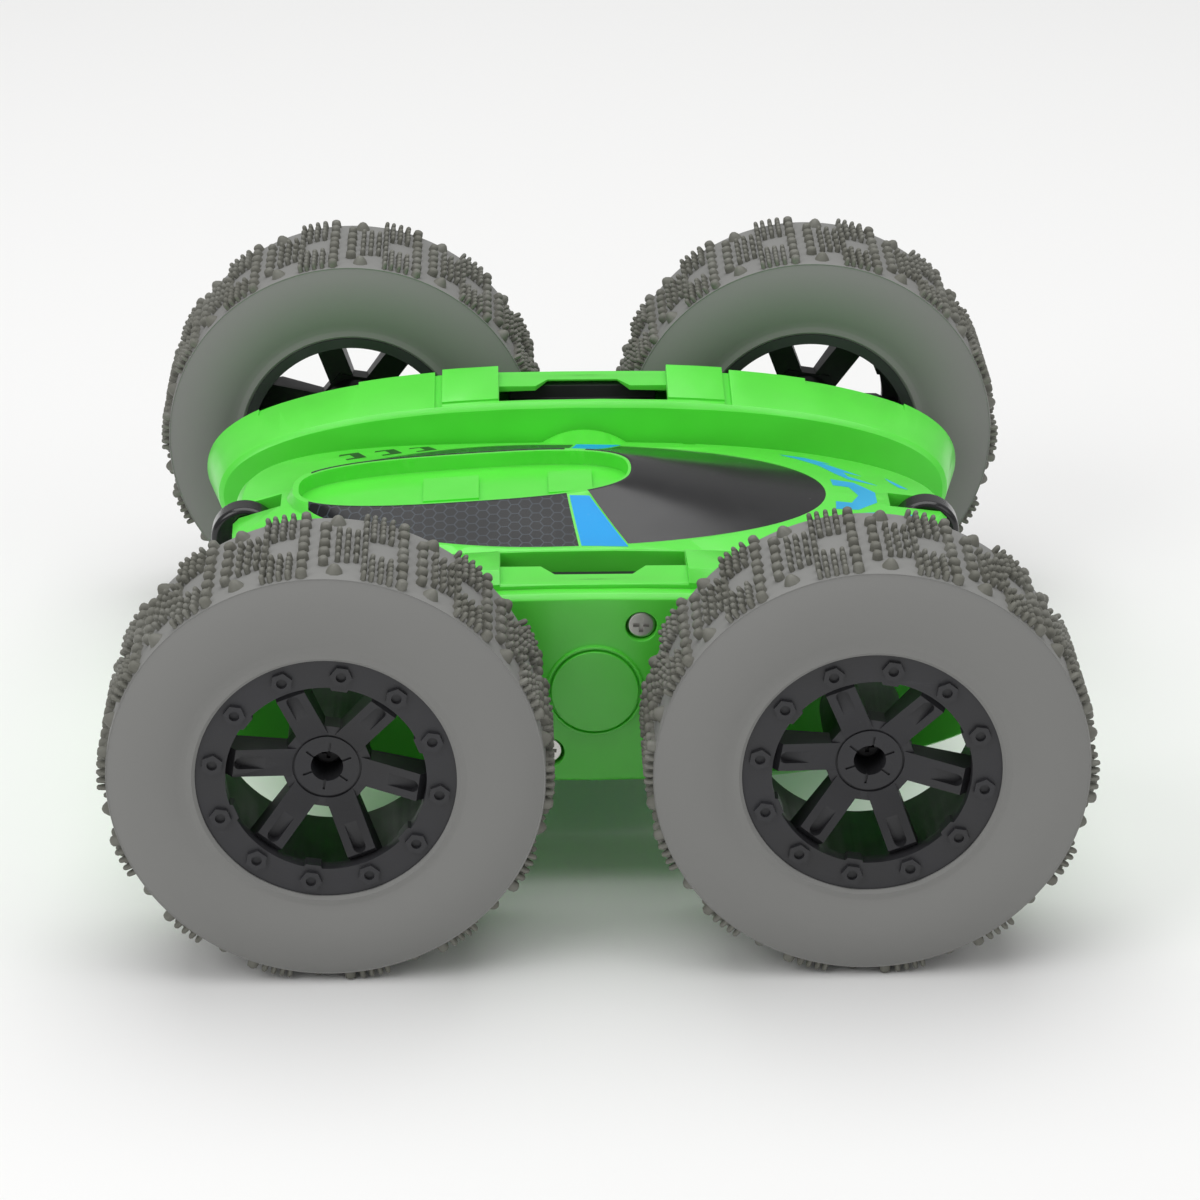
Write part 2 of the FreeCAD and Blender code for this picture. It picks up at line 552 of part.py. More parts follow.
def arm_housing():
    """Tray of the arm: side walls, notch with its slot, gear bosses and the hollow pivot tube."""
    outer = housing_form(0.0, ARM_INNER_Y, ARM_JOINT_Y)
    raised = housing_form(-BLOCK_HEIGHT, ARM_INNER_Y + ARM_EDGE + 1, ARM_JOINT_Y)
    height = 2 * ARM_HALF_HEIGHT
    for side in (-1, 1):
        span = sorted((side * NOTCH_HALF_WIDTH, side * (NOTCH_HALF_WIDTH + BLOCK_WIDTH)))
        pad = raised.common(block(span, (ARM_INNER_Y, ARM_JOINT_Y), around(AXLE_Z, 3 * height)))
        outer = outer.fuse(pad)
    cavity = housing_form(ARM_WALL, GEAR_FLOOR_Y, ARM_JOINT_Y + 1)
    shape = outer.cut(cavity)

    top = AXLE_Z + ARM_HALF_HEIGHT
    notch = block(around(0, 2 * NOTCH_HALF_WIDTH), (ARM_INNER_Y + ARM_WALL, ARM_JOINT_Y + 1),
                  (top - NOTCH_DEPTH, top + 5))
    slot = block(around(0, 2 * SLOT_HALF_LENGTH), (SLOT_INNER_Y, SLOT_OUTER_Y),
                 (top - NOTCH_DEPTH - 2 * ARM_WALL, top + 5))
    bay_half = SLOT_BAY_HALF_WIDTH
    bay = prism_z([(-bay_half - SLOT_BAY_FLARE, SLOT_OUTER_Y), (bay_half + SLOT_BAY_FLARE, SLOT_OUTER_Y),
                   (bay_half, SLOT_OUTER_Y + SLOT_BAY_DEPTH), (-bay_half, SLOT_OUTER_Y + SLOT_BAY_DEPTH)],
                  top - NOTCH_DEPTH - 2 * ARM_WALL, top + 5)
    cuts = [both_heights(notch), both_heights(slot), both_heights(bay)]
    groove_form = housing_form(GROOVE_DEPTH, ARM_INNER_Y, ARM_JOINT_Y)
    for side in (-1, 1):
        start = side * (NOTCH_HALF_WIDTH + BLOCK_WIDTH)
        band = block(sorted((start, start + side * GROOVE_WIDTH)), (ARM_INNER_Y + ARM_EDGE, ARM_JOINT_Y),
                     around(AXLE_Z, 3 * height))
        cuts.append(band.cut(groove_form))
        pocket_start = side * FLANK_POCKET_START
        pocket = block(sorted((pocket_start, pocket_start + side * FLANK_POCKET_LENGTH)),
                       (ARM_SHOULDER_Y - 2.0, ARM_SHOULDER_Y + 1.6), around(AXLE_Z, 3 * height))
        cuts.append(pocket.cut(housing_form(FLANK_POCKET_DEPTH, ARM_INNER_Y, ARM_JOINT_Y)))
    shape = shape.cut(Part.Compound(cuts))

    additions = [cylinder_y(PIVOT_RADIUS, PIVOT_END_Y, GEAR_FLOOR_Y),
                 cylinder_y(PIVOT_RADIUS + PIVOT_FLANGE, PIVOT_END_Y, PIVOT_END_Y + PIVOT_FLANGE)]
    for x, z in screw_places():
        additions.append(cylinder_y(ARM_SCREW_BOSS_RADIUS, ARM_INNER_Y + 1, ARM_JOINT_Y, x, z))
    for x in (-AXLE_X, AXLE_X):
        additions.append(cylinder_y(AXLE_BOSS_RADIUS, ARM_INNER_Y + 1, GEAR_FLOOR_Y + AXLE_INNER_BOSS, x))
    for x in (-IDLER_X, IDLER_X):
        additions.append(cylinder_y(PIN_RADIUS * 2, ARM_INNER_Y + 1, COARSE_Y - GEAR_GAP / 2, x))
    shape = shape.fuse(additions)

    bores = [cylinder_y(MOTOR_RADIUS, PIVOT_END_Y - 1, PIVOT_END_Y + MOTOR_LENGTH),
             cylinder_y(MOTOR_BOSS_RADIUS, PIVOT_END_Y, GEAR_FLOOR_Y + 1)]
    for x, z in screw_places():
        bores.append(cylinder_y(ARM_SCREW_RADIUS, ARM_JOINT_Y - ARM_SCREW_LENGTH, ARM_JOINT_Y + 1, x, z))
    for x in (-AXLE_X, AXLE_X):
        bores.append(cylinder_y(AXLE_RADIUS + RUNNING, ARM_INNER_Y + ARM_WALL / 2 - PLAY, ARM_JOINT_Y, x))
    for x in (-IDLER_X, -REDUCER_X, REDUCER_X, IDLER_X):
        bores.append(cylinder_y(PIN_RADIUS, ARM_INNER_Y + ARM_WALL / 2, ARM_JOINT_Y, x))
    return shape.cut(Part.Compound(bores))


def screw_places():
    """Centres (x, z) of the two screws that hold the cover, alike when the arm is turned half round."""
    return ((ARM_SCREW_X, AXLE_Z + ARM_SCREW_RISE), (-ARM_SCREW_X, AXLE_Z - ARM_SCREW_RISE))


def arm_cover():
    """Outer plate of the arm with its centre boss, axle bosses and screw recesses."""
    low = ARM_SLOPE + COVER_STEP
    length = 0.2 + COVER_STEP
    plate = oval_loft([(ARM_JOINT_Y, length, low), (ARM_OUTER_Y - COVER_EDGE, length + 0.2, low + 0.2),
                       (ARM_OUTER_Y, length + COVER_EDGE, low + COVER_EDGE)])
    inner = oval_loft([(ARM_JOINT_Y - 1, length + 2 * ARM_WALL, low + 2 * ARM_WALL),
                       (ARM_JOINT_Y + COVER_POCKET, length + 2 * ARM_WALL, low + 2 * ARM_WALL)])
    shape = plate.cut(inner)
    boss_top = ARM_OUTER_Y + CENTRE_BOSS_HEIGHT
    additions = [cylinder_y(CENTRE_BOSS_RADIUS, ARM_JOINT_Y + COVER_POCKET, boss_top),
                 cylinder_y(CENTRE_DISC_RADIUS, ARM_OUTER_Y, ARM_OUTER_Y + CENTRE_DISC_HEIGHT)]
    for x, z in screw_places():
        additions.append(cylinder_y(ARM_SCREW_HEAD_RADIUS + ARM_WALL, ARM_JOINT_Y, ARM_OUTER_Y - 0.4, x, z))
    for x in (-AXLE_X, AXLE_X):
        additions.append(cylinder_y(AXLE_BOSS_RADIUS, ARM_JOINT_Y, AXLE_BOSS_END_Y, x))
    shape = shape.fuse(additions)
    groove = cylinder_y(CENTRE_DISC_RADIUS + CENTRE_GROOVE_WIDTH, ARM_OUTER_Y, boss_top + 1)
    groove = groove.cut(cylinder_y(CENTRE_DISC_RADIUS, ARM_OUTER_Y - 1, boss_top + 2))
    cuts = [groove]
    seat = ARM_OUTER_Y - ARM_SCREW_DEPTH
    for x, z in screw_places():
        cuts.append(cylinder_y(ARM_SCREW_HEAD_RADIUS + PLAY, seat, ARM_OUTER_Y + 1, x, z))
        cuts.append(cylinder_y(ARM_SCREW_RADIUS + RUNNING, ARM_JOINT_Y - 1, seat + 1, x, z))
    for x in (-AXLE_X, AXLE_X):
        cuts.append(cylinder_y(AXLE_RADIUS + RUNNING, ARM_JOINT_Y - 1, AXLE_BOSS_END_Y + 1, x))
    return shape.cut(Part.Compound(cuts))


def arm_screws():
    """The two cross-head screws of one arm's cover."""
    seat = ARM_OUTER_Y - ARM_SCREW_DEPTH
    length = seat - (ARM_JOINT_Y - ARM_SCREW_LENGTH) - PLAY
    screws = []
    for x, z in screw_places():
        screws.append(screw_y(ARM_SCREW_HEAD_RADIUS, ARM_SCREW_HEAD_HEIGHT, ARM_SCREW_RADIUS, seat,
                              length, x, z))
    return Part.Compound(screws)


def gearbox_frame():
    """Black frame that holds the outer ends of the gear pins and closes the train off from the slots."""
    plate = block(around(0, 2 * FRAME_HALF_LENGTH), (FRAME_Y, FRAME_Y + FRAME_PLATE),
                  around(AXLE_Z, 2 * (FRAME_HALF_HEIGHT - FRAME_WALL)))
    wall = block(around(0, 2 * FRAME_WALL_HALF_LENGTH), (FINE_Y, FRAME_Y + FRAME_PLATE),
                 (AXLE_Z + FRAME_HALF_HEIGHT - FRAME_WALL, AXLE_Z + FRAME_HALF_HEIGHT))
    upstand = block(around(0, 2 * FRAME_WALL_HALF_LENGTH), (FRAME_Y, FRAME_Y + FRAME_PLATE),
                    around(AXLE_Z, 2 * FRAME_UPSTAND_HEIGHT))
    shape = plate.fuse([both_heights(wall), upstand])
    corner = FRAME_HALF_LENGTH - FRAME_WALL_HALF_LENGTH
    for side in (-1, 1):
        for up in (-1, 1):
            edge = Vector(side * FRAME_HALF_LENGTH, FRAME_Y - 1, AXLE_Z + up * FRAME_HALF_HEIGHT)
            points = [edge, edge + Vector(-side * corner, 0, 0), edge + Vector(0, 0, -up * corner / 2), edge]
            wedge = Part.Face(Part.makePolygon(points)).extrude(Vector(0, FRAME_PLATE + 2, 0))
            shape = shape.cut(wedge)
    holes = []
    for x in (-IDLER_X, -REDUCER_X, REDUCER_X, IDLER_X):
        holes.append(cylinder_y(PIN_RADIUS, FRAME_Y - 1, FRAME_Y + FRAME_PLATE + 1, x))
    for x, z in screw_places():
        holes.append(cylinder_y(ARM_SCREW_BOSS_RADIUS, FINE_Y - 1, ARM_JOINT_Y, x, z))
    return shape.cut(Part.Compound(holes))


# ---- body ---------------------------------------------------------------------------------------
def rounded_outline(z, centre, front, rear, half_width, front_power, rear_power):
    """Closed outline of two half super-ellipses that meet at centre, begun at its rear end."""
    points = []
    for number in range(OUTLINE_POINTS):
        angle = math.pi + 2 * math.pi * (number + 0.5) / OUTLINE_POINTS
        cosine = math.cos(angle)
        sine = math.sin(angle)
        reach, power = (front, front_power) if cosine > 0 else (rear, rear_power)
        x = centre + math.copysign(reach * abs(cosine) ** (2 / power), cosine)
        y = math.copysign(half_width * abs(sine) ** (2 / power), sine)
        points.append(Vector(x, y, z))
    curve = Part.BSplineCurve()
    curve.interpolate(Points=points, PeriodicFlag=True)
    return Part.Wire([curve.toShape()])


def body_outline(z, inset=0.0):
    """Plan outline of the body."""
    return rounded_outline(z, 0.0, BODY_FRONT_LENGTH - inset, BODY_REAR_LENGTH - inset,
                           BODY_HALF_WIDTH - inset, BODY_FRONT_ROUNDNESS, BODY_REAR_ROUNDNESS)


def canopy_outline(z, inset=0.0):
    """Plan outline of the foot of the canopy."""
    return rounded_outline(z, CANOPY_CENTRE_X, CANOPY_FRONT_LENGTH - inset, CANOPY_REAR_LENGTH - inset,
                           CANOPY_HALF_WIDTH - inset, CANOPY_FRONT_ROUNDNESS, CANOPY_REAR_ROUNDNESS)


def cockpit_outline(z, inset=0.0):
    """Plan outline of the cockpit recess."""
    return rounded_outline(z, COCKPIT_CENTRE_X, COCKPIT_FRONT_LENGTH - inset,
                           COCKPIT_REAR_LENGTH - inset, COCKPIT_HALF_WIDTH - inset,
                           COCKPIT_FRONT_ROUNDNESS, COCKPIT_REAR_ROUNDNESS)


def lean(shape):
    """Tilt a piece of the upper cockpit down towards the rear with the roof."""
    shape.rotate(Vector(COCKPIT_CENTRE_X + COCKPIT_FRONT_LENGTH, 0, AXLE_Z + ROOF_RISE), Vector(0, 1, 0),
                 -ROOF_LEAN)
    return shape


def lean_lower(shape):
    """Tilt a piece of the lower cockpit, the mirror of lean."""
    return mirror_height(lean(mirror_height(shape)))


def upright(wire, height):
    """Upright prism on a closed outline."""
    return Part.Face(wire).extrude(Vector(0, 0, height))


def canopy_form(inset, lift):
    """Canopy with a deep foot, set in by inset and raised by lift."""
    foot = AXLE_Z + CANOPY_RISE + lift
    roof = AXLE_Z + ROOF_RISE + lift
    return Part.makeLoft([canopy_outline(foot - 4.0, inset), canopy_outline(foot, inset),
                          lean(cockpit_outline(roof, -COCKPIT_LIP))], True, True)


def window_prisms():
    """Upright prisms over the windscreen and over the left side window."""
    low = AXLE_Z + BODY_RIM_RISE - 4
    high = AXLE_Z + ROOF_RISE + 6
    far_x = BODY_FRONT_LENGTH
    top_y = PILLAR_TOP_Y
    foot_y = CANOPY_HALF_WIDTH
    slope_front = (PILLAR_FOOT_X[1] - PILLAR_TOP_X[1]) / (foot_y - top_y)
    slope_rear = (PILLAR_FOOT_X[0] - PILLAR_TOP_X[0]) / (foot_y - top_y)
    start_front = PILLAR_TOP_X[1] - slope_front * top_y
    start_rear = PILLAR_TOP_X[0] - slope_rear * top_y
    reach = BODY_HALF_WIDTH
    front_x = start_front + slope_front * reach
    rear_x = start_rear + slope_rear * reach
    windscreen = prism_z([(start_front, 0), (front_x, reach), (far_x, reach), (far_x, -reach),
                          (front_x, -reach)], low, high)
    side_window = prism_z([(SIDE_WINDOW_REAR_X, 0.5), (start_rear, 0.5), (rear_x, reach),
                           (SIDE_WINDOW_REAR_X, reach)], low, high)
    return windscreen, side_window


def upper_windows():
    """Windscreen, left and right side windows of the upper canopy, and the pockets they sit in."""
    sheet = canopy_form(WINDOW_INSET, 0.0)
    below = canopy_form(WINDOW_INSET, -WINDOW_THICK)
    raised = canopy_form(WINDOW_INSET, 1.0)
    opening = lean(upright(cockpit_outline(AXLE_Z, -COCKPIT_LIP * 0.5), 2 * ROOF_RISE))
    windscreen_prism, side_prism = window_prisms()
    panels = []
    pockets = []
    for prism in (windscreen_prism, side_prism, mirror_side(side_prism)):
        region = prism.cut(opening)
        panels.append(sheet.common(region).cut(below))
        pockets.append(raised.common(region).cut(below))
    return panels, pockets


def roller_places():
    """Centres (x, z) of the upper rollers."""
    return ((ROLLER_FRONT_X, AXLE_Z + ROLLER_RISE), (ROLLER_REAR_X, AXLE_Z + ROLLER_RISE))


def upper_shell(pockets):
    """Upper half of the body with its deck, canopy, cockpit and the halves of the pivot collars."""
    rim_z = AXLE_Z + BODY_RIM_RISE
    outer = Part.makeLoft([body_outline(AXLE_Z), body_outline(rim_z),
                           body_outline(rim_z + BODY_RIM_EDGE, BODY_RIM_EDGE),
                           canopy_outline(AXLE_Z + CANOPY_RISE),
                           lean(cockpit_outline(AXLE_Z + ROOF_RISE, -COCKPIT_LIP))], True, True)
    cavity = Part.makeLoft([body_outline(AXLE_Z - 1, BODY_WALL), body_outline(rim_z - 1, BODY_WALL),
                            canopy_outline(AXLE_Z + CAVITY_RISE, BODY_WALL)], True, True)
    cockpit_floor = AXLE_Z + ROOF_RISE - COCKPIT_DEPTH
    cockpit = lean(upright(cockpit_outline(cockpit_floor), 2 * COCKPIT_DEPTH))
    shape = outer.cut(cockpit)
    for start, end, half_width in SEAT_BLOCKS:
        shape = shape.fuse(lean(block((start, end), (-half_width, half_width),
                                      (cockpit_floor - 0.5, cockpit_floor + SEAT_BLOCK_HEIGHT))))
    additions = []
    slot_half = ROLLER_WIDTH / 2 + ROLLER_SIDE_GAP
    for x, _ in roller_places():
        inner_x = x - math.copysign(ROLLER_RADIUS + MOVING_GAP + BODY_WALL, x)
        cheek = block(sorted((inner_x, 2 * x)), around(0, 2 * (slot_half + ROLLER_CHEEK)),
                      (AXLE_Z, AXLE_Z + ROOF_RISE))
        additions.append(cheek.common(outer))
    for side in (-1, 1):
        collar = cylinder_y(COLLAR_RADIUS, COLLAR_INNER_Y, COLLAR_OUTER_Y)
        collar = collar.makeChamfer(1.0, [edge for edge in collar.Edges if edge.BoundBox.YMin > 31])
        additions.append(collar if side > 0 else mirror_side(collar))
    for x, y in body_screw_places():
        additions.append(cylinder_z(BODY_SCREW_BOSS_RADIUS, AXLE_Z, AXLE_Z + CAVITY_RISE - 1, x, y))
    shape = shape.cut(cavity).fuse(additions)
    cuts = [block(around(0, 400), around(0, 400), (AXLE_Z - 100, AXLE_Z))]
    for x, z in roller_places():
        inner_x = x - math.copysign(ROLLER_RADIUS + MOVING_GAP, x)
        cuts.append(block(sorted((inner_x, 2 * x)), around(0, 2 * slot_half), (AXLE_Z - 50, AXLE_Z + 50)))
        pin_half = slot_half + ROLLER_CHEEK - 1
        cuts.append(cylinder_y(ROLLER_PIN_RADIUS, -pin_half, pin_half, x, z))
    for side in (-1, 1):
        bore = cylinder_y(PIVOT_RADIUS + RUNNING, COLLAR_INNER_Y - 3, COLLAR_OUTER_Y + 3)
        cuts.append(bore if side > 0 else mirror_side(bore))
        notch = block(around(RIM_NOTCH_X, RIM_NOTCH_WIDTH),
                      sorted((side * (BODY_HALF_WIDTH - 3.4), side * (BODY_HALF_WIDTH + 2))),
                      (rim_z + BODY_RIM_EDGE - RIM_NOTCH_DEPTH + 0.4, rim_z + 8))
        cuts.append(notch)
    for x, y in body_screw_places():
        cuts.append(cylinder_z(BODY_SCREW_RADIUS, AXLE_Z - 1, AXLE_Z + 8, x, y))
    return shape.cut(Part.Compound(cuts)).cut(Part.Compound(pockets))


def body_screw_places():
    """Centres (x, y) of the screws that clamp the two body halves."""
    return [(x, side * y) for x, y in BODY_SCREW_PLACES for side in (-1, 1)]


def screw_seat_z():
    """Height of the underside of the body screws' heads."""
    return AXLE_Z - BODY_RIM_RISE + BODY_SCREW_SINK - BODY_RIM_EDGE


def lower_shell(upper):
    """Lower half of the body: the upper half turned over, with screw seats, door and switch openings."""
    shape = mirror_height(upper)
    floor_z = AXLE_Z - ROOF_RISE + COCKPIT_DEPTH
    inside_z = AXLE_Z - CAVITY_RISE
    board_z = AXLE_Z
    additions = []
    for x in around(BOARD_CENTRE_X, BOARD_SIZE[0] - 4 * BOARD_POST_RADIUS):
        for y in around(0, BOARD_SIZE[1] - 4 * BOARD_POST_RADIUS):
            additions.append(cylinder_z(BOARD_POST_RADIUS, inside_z - 0.4, board_z, x, y))
    shape = shape.fuse(additions)
    door_x = around(BATTERY_DOOR_CENTRE_X, BATTERY_DOOR_SIZE[0] + 2 * DOOR_GAP)
    door_y = around(0, BATTERY_DOOR_SIZE[1] + 2 * DOOR_GAP)
    cuts = [lean_lower(block(door_x, door_y, (floor_z - 5, inside_z + 4)).cut(door_ledge()))]
    stem_x = (SWITCH_X - SWITCH_STEM[0] / 2 - PLAY, SWITCH_X + SWITCH_STEM[0] / 2 + SWITCH_TRAVEL + PLAY)
    cuts.append(block(stem_x, around(0, SWITCH_STEM[1] + 2 * PLAY), (floor_z - 5, inside_z + 2)))
    seat_z = screw_seat_z()
    for x, y in body_screw_places():
        cuts.append(cylinder_z(BODY_SCREW_HEAD_RADIUS + PLAY, 0, seat_z, x, y))
        cuts.append(cylinder_z(BODY_SCREW_RADIUS, seat_z - 1, AXLE_Z + 1, x, y))
    return shape.cut(Part.Compound(cuts))


def door_ledge():
    """Frame inside the battery opening that the door rests against."""
    floor_z = AXLE_Z - ROOF_RISE + COCKPIT_DEPTH
    length, width, thick = BATTERY_DOOR_SIZE
    low = floor_z + thick
    outer = block(around(BATTERY_DOOR_CENTRE_X, length + 2), around(0, width + 2), (low, AXLE_Z))
    inner = block(around(BATTERY_DOOR_CENTRE_X, length - 3), around(0, width - 3), (low - 1, AXLE_Z + 1))
    return outer.cut(inner)


def battery_door():
    """Door in the floor of the lower cockpit recess, with a finger groove."""
    floor_z = AXLE_Z - ROOF_RISE + COCKPIT_DEPTH
    length, width, thick = BATTERY_DOOR_SIZE
    plate = block(around(BATTERY_DOOR_CENTRE_X, length), around(0, width), (floor_z, floor_z + thick))
    end_x = BATTERY_DOOR_CENTRE_X + length / 2 - 4
    groove = block((end_x - 1.2, end_x), around(0, width * 0.5), (floor_z - 1, floor_z + thick * 0.4))
    second = groove.copy()
    second.translate(Vector(-2.4, 0, 0))
    return lean_lower(plate.cut(groove.fuse(second)))


def battery():
    """Rechargeable pack lying in the rear of the body."""
    length, width, height = BATTERY_SIZE
    base = AXLE_Z - CAVITY_RISE + PLAY
    shape = block(around(BATTERY_CENTRE_X, length), around(0, width), (base, base + height))
    lengthways = [edge for edge in shape.Edges if edge.BoundBox.XLength > length / 2]
    return shape.makeFillet(BATTERY_EDGE, lengthways)


def circuit_board():
    """Receiver and motor-driver board with its larger components."""
    base = AXLE_Z
    length, width, thick = BOARD_SIZE
    shape = block(around(BOARD_CENTRE_X, length), around(0, width), (base, base + thick))
    top = base + thick
    parts = [block(around(BOARD_CENTRE_X - 6, 7), around(-3, 6), (top, top + 1.5)),
             block(around(BOARD_CENTRE_X + 6, 5), around(4, 4), (top, top + 1.2)),
             block(around(BOARD_CENTRE_X + 6, 8), around(-6, 3.4), (top, top + 3.2)),
             cylinder_z(2.0, top, top + 5.0, BOARD_CENTRE_X - 8, 7)]
    return shape.fuse(parts)


def power_switch():
    """Slide switch whose stem passes through the lower cockpit floor."""
    inside_z = AXLE_Z - CAVITY_RISE
    floor_z = AXLE_Z - ROOF_RISE + COCKPIT_DEPTH
    stem = block(around(SWITCH_X, SWITCH_STEM[0]), around(0, SWITCH_STEM[1]),
                 (floor_z - SEAT_BLOCK_HEIGHT - SWITCH_PROUD, inside_z + PLAY + SWITCH_BASE[2]))
    base = block(around(SWITCH_X, SWITCH_BASE[0]), around(0, SWITCH_BASE[1]),
                 (inside_z + PLAY, inside_z + PLAY + SWITCH_BASE[2]))
    return stem.fuse(base)


def roller(x, z):
    """Glossy end roller with rounded edges."""
    shape = cylinder_y(ROLLER_RADIUS, -ROLLER_WIDTH / 2, ROLLER_WIDTH / 2, x, z)
    shape = shape.makeFillet(ROLLER_EDGE, [edge for edge in shape.Edges if edge.BoundBox.YLength < 0.1])
    return shape.cut(cylinder_y(ROLLER_PIN_RADIUS + RUNNING, -ROLLER_WIDTH, ROLLER_WIDTH, x, z))


def all_roller_places():
    """Node name and centre (x, z) of each of the four rollers."""
    places = {}
    for end, (x, z) in zip(("front", "rear"), roller_places()):
        places["upper_" + end + "_roller"] = (x, z)
        places["lower_" + end + "_roller"] = (x, 2 * AXLE_Z - z)
    return places


def roller_pins():
    """The four steel pins that the rollers turn on."""
    half = ROLLER_WIDTH / 2 + ROLLER_SIDE_GAP + ROLLER_CHEEK - 1
    return Part.Compound([cylinder_y(ROLLER_PIN_RADIUS, -half, half, x, z)
                          for x, z in all_roller_places().values()])


def body_screws():
    """The screws that clamp the body halves, put in from below."""
    seat_z = screw_seat_z()
    screws = []
    for x, y in body_screw_places():
        head = cylinder_z(BODY_SCREW_HEAD_RADIUS, seat_z - BODY_SCREW_HEAD_HEIGHT, seat_z, x, y)
        arm = BODY_SCREW_HEAD_RADIUS * 1.1
        thick = BODY_SCREW_HEAD_RADIUS * 0.3
        low = seat_z - BODY_SCREW_HEAD_HEIGHT - 1
        cross = block(around(x, arm), around(y, thick), (low, low + 1.8))
        cross = cross.fuse(block(around(x, thick), around(y, arm), (low, low + 1.8)))
        shank = cylinder_z(BODY_SCREW_RADIUS, seat_z, AXLE_Z + 8 - PLAY, x, y)
        screws.append(head.cut(cross).fuse(shank))
    return Part.Compound(screws)


# ---- the whole car ------------------------------------------------------------------------------
def side_pieces():
    """Node name stem and shape of every piece of the left side, front and rear."""
    pieces = {"arm_housing": arm_housing(), "arm_cover": arm_cover(), "arm_screws": arm_screws(),
              "gearbox_frame": gearbox_frame(), "motor": motor(), "motor_pinion": motor_pinion(),
              "gear_pins": gear_pins()}
    for end, side in (("front", 1), ("rear", -1)):
        x = side * AXLE_X
        pieces[end + "_reducer_gear"] = reducer_gear(side)
        pieces[end + "_idler_gear"] = idler_gear(side)
        pieces[end + "_wheel_gear"] = wheel_gear(side)
        pieces[end + "_axle"] = axle(x)
        pieces[end + "_tyre"] = tyre(x)
        pieces[end + "_rim"] = rim(x)
        pieces[end + "_wheel_screw"] = wheel_screw(x)
    return pieces


def body_pieces():
    """Every piece of the body by node name."""
    panels, pockets = upper_windows()
    upper = upper_shell(pockets)
    pieces = {"upper_shell": upper, "lower_shell": lower_shell(upper), "battery": battery(),
              "battery_door": battery_door(), "circuit_board": circuit_board(),
              "power_switch": power_switch(), "roller_pins": roller_pins(),
              "body_screws": body_screws()}
    for name, panel in zip(("windscreen", "left_window", "right_window"), panels):
        pieces["upper_" + name] = panel
        pieces["lower_" + name] = mirror_height(panel)
    for name, (x, z) in all_roller_places().items():
        pieces[name] = roller(x, z)
    return pieces


def main():
    """Write every piece of the car to parts/."""
    os.makedirs("parts", exist_ok=True)
    for name, shape in side_pieces().items():
        write("left_" + name, shape)
        write("right_" + name, mirror_side(shape))
    for name, shape in body_pieces().items():
        write(name, shape)


main()
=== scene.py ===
"""Looks of a double-sided remote-control stunt car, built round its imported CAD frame.

Everything is in metres, in the frame's own axes: +X is the front, +Y the car's left, +Z up, with the
ground at z = 0. Sizes written in millimetres are turned to metres by MM.
"""
import json
import logging
import math
from dataclasses import dataclass, field
from enum import Enum
from typing import Callable, Sequence

import bmesh
import bpy
from mathutils import Matrix, Vector
from mathutils.bvhtree import BVHTree


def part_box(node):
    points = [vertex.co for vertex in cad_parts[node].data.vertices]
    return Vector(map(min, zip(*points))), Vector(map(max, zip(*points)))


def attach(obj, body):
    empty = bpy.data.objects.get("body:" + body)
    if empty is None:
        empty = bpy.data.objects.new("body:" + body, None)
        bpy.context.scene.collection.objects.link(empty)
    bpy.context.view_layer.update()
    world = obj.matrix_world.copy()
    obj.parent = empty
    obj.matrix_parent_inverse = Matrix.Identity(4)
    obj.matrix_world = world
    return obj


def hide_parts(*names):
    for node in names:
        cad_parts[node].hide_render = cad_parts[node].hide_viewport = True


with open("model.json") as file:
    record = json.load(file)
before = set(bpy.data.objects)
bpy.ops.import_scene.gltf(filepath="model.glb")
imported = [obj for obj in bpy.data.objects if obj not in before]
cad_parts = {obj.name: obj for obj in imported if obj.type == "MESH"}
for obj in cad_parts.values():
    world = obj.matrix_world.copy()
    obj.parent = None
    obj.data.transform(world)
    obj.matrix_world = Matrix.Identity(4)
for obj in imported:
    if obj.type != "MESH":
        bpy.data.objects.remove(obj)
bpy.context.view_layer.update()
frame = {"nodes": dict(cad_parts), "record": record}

LOG = logging.getLogger("stunt_car")
MM = 0.001
AXLE_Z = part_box("left_front_tyre")[1].z / 2
Point = tuple[float, float]


class Side(Enum):
    """The two sides of the car, with the sign of their Y."""

    LEFT = 1
    RIGHT = -1


class Half(Enum):
    """The two faces of the double-sided body, with the sign of their height."""

    UPPER = 1
    LOWER = -1


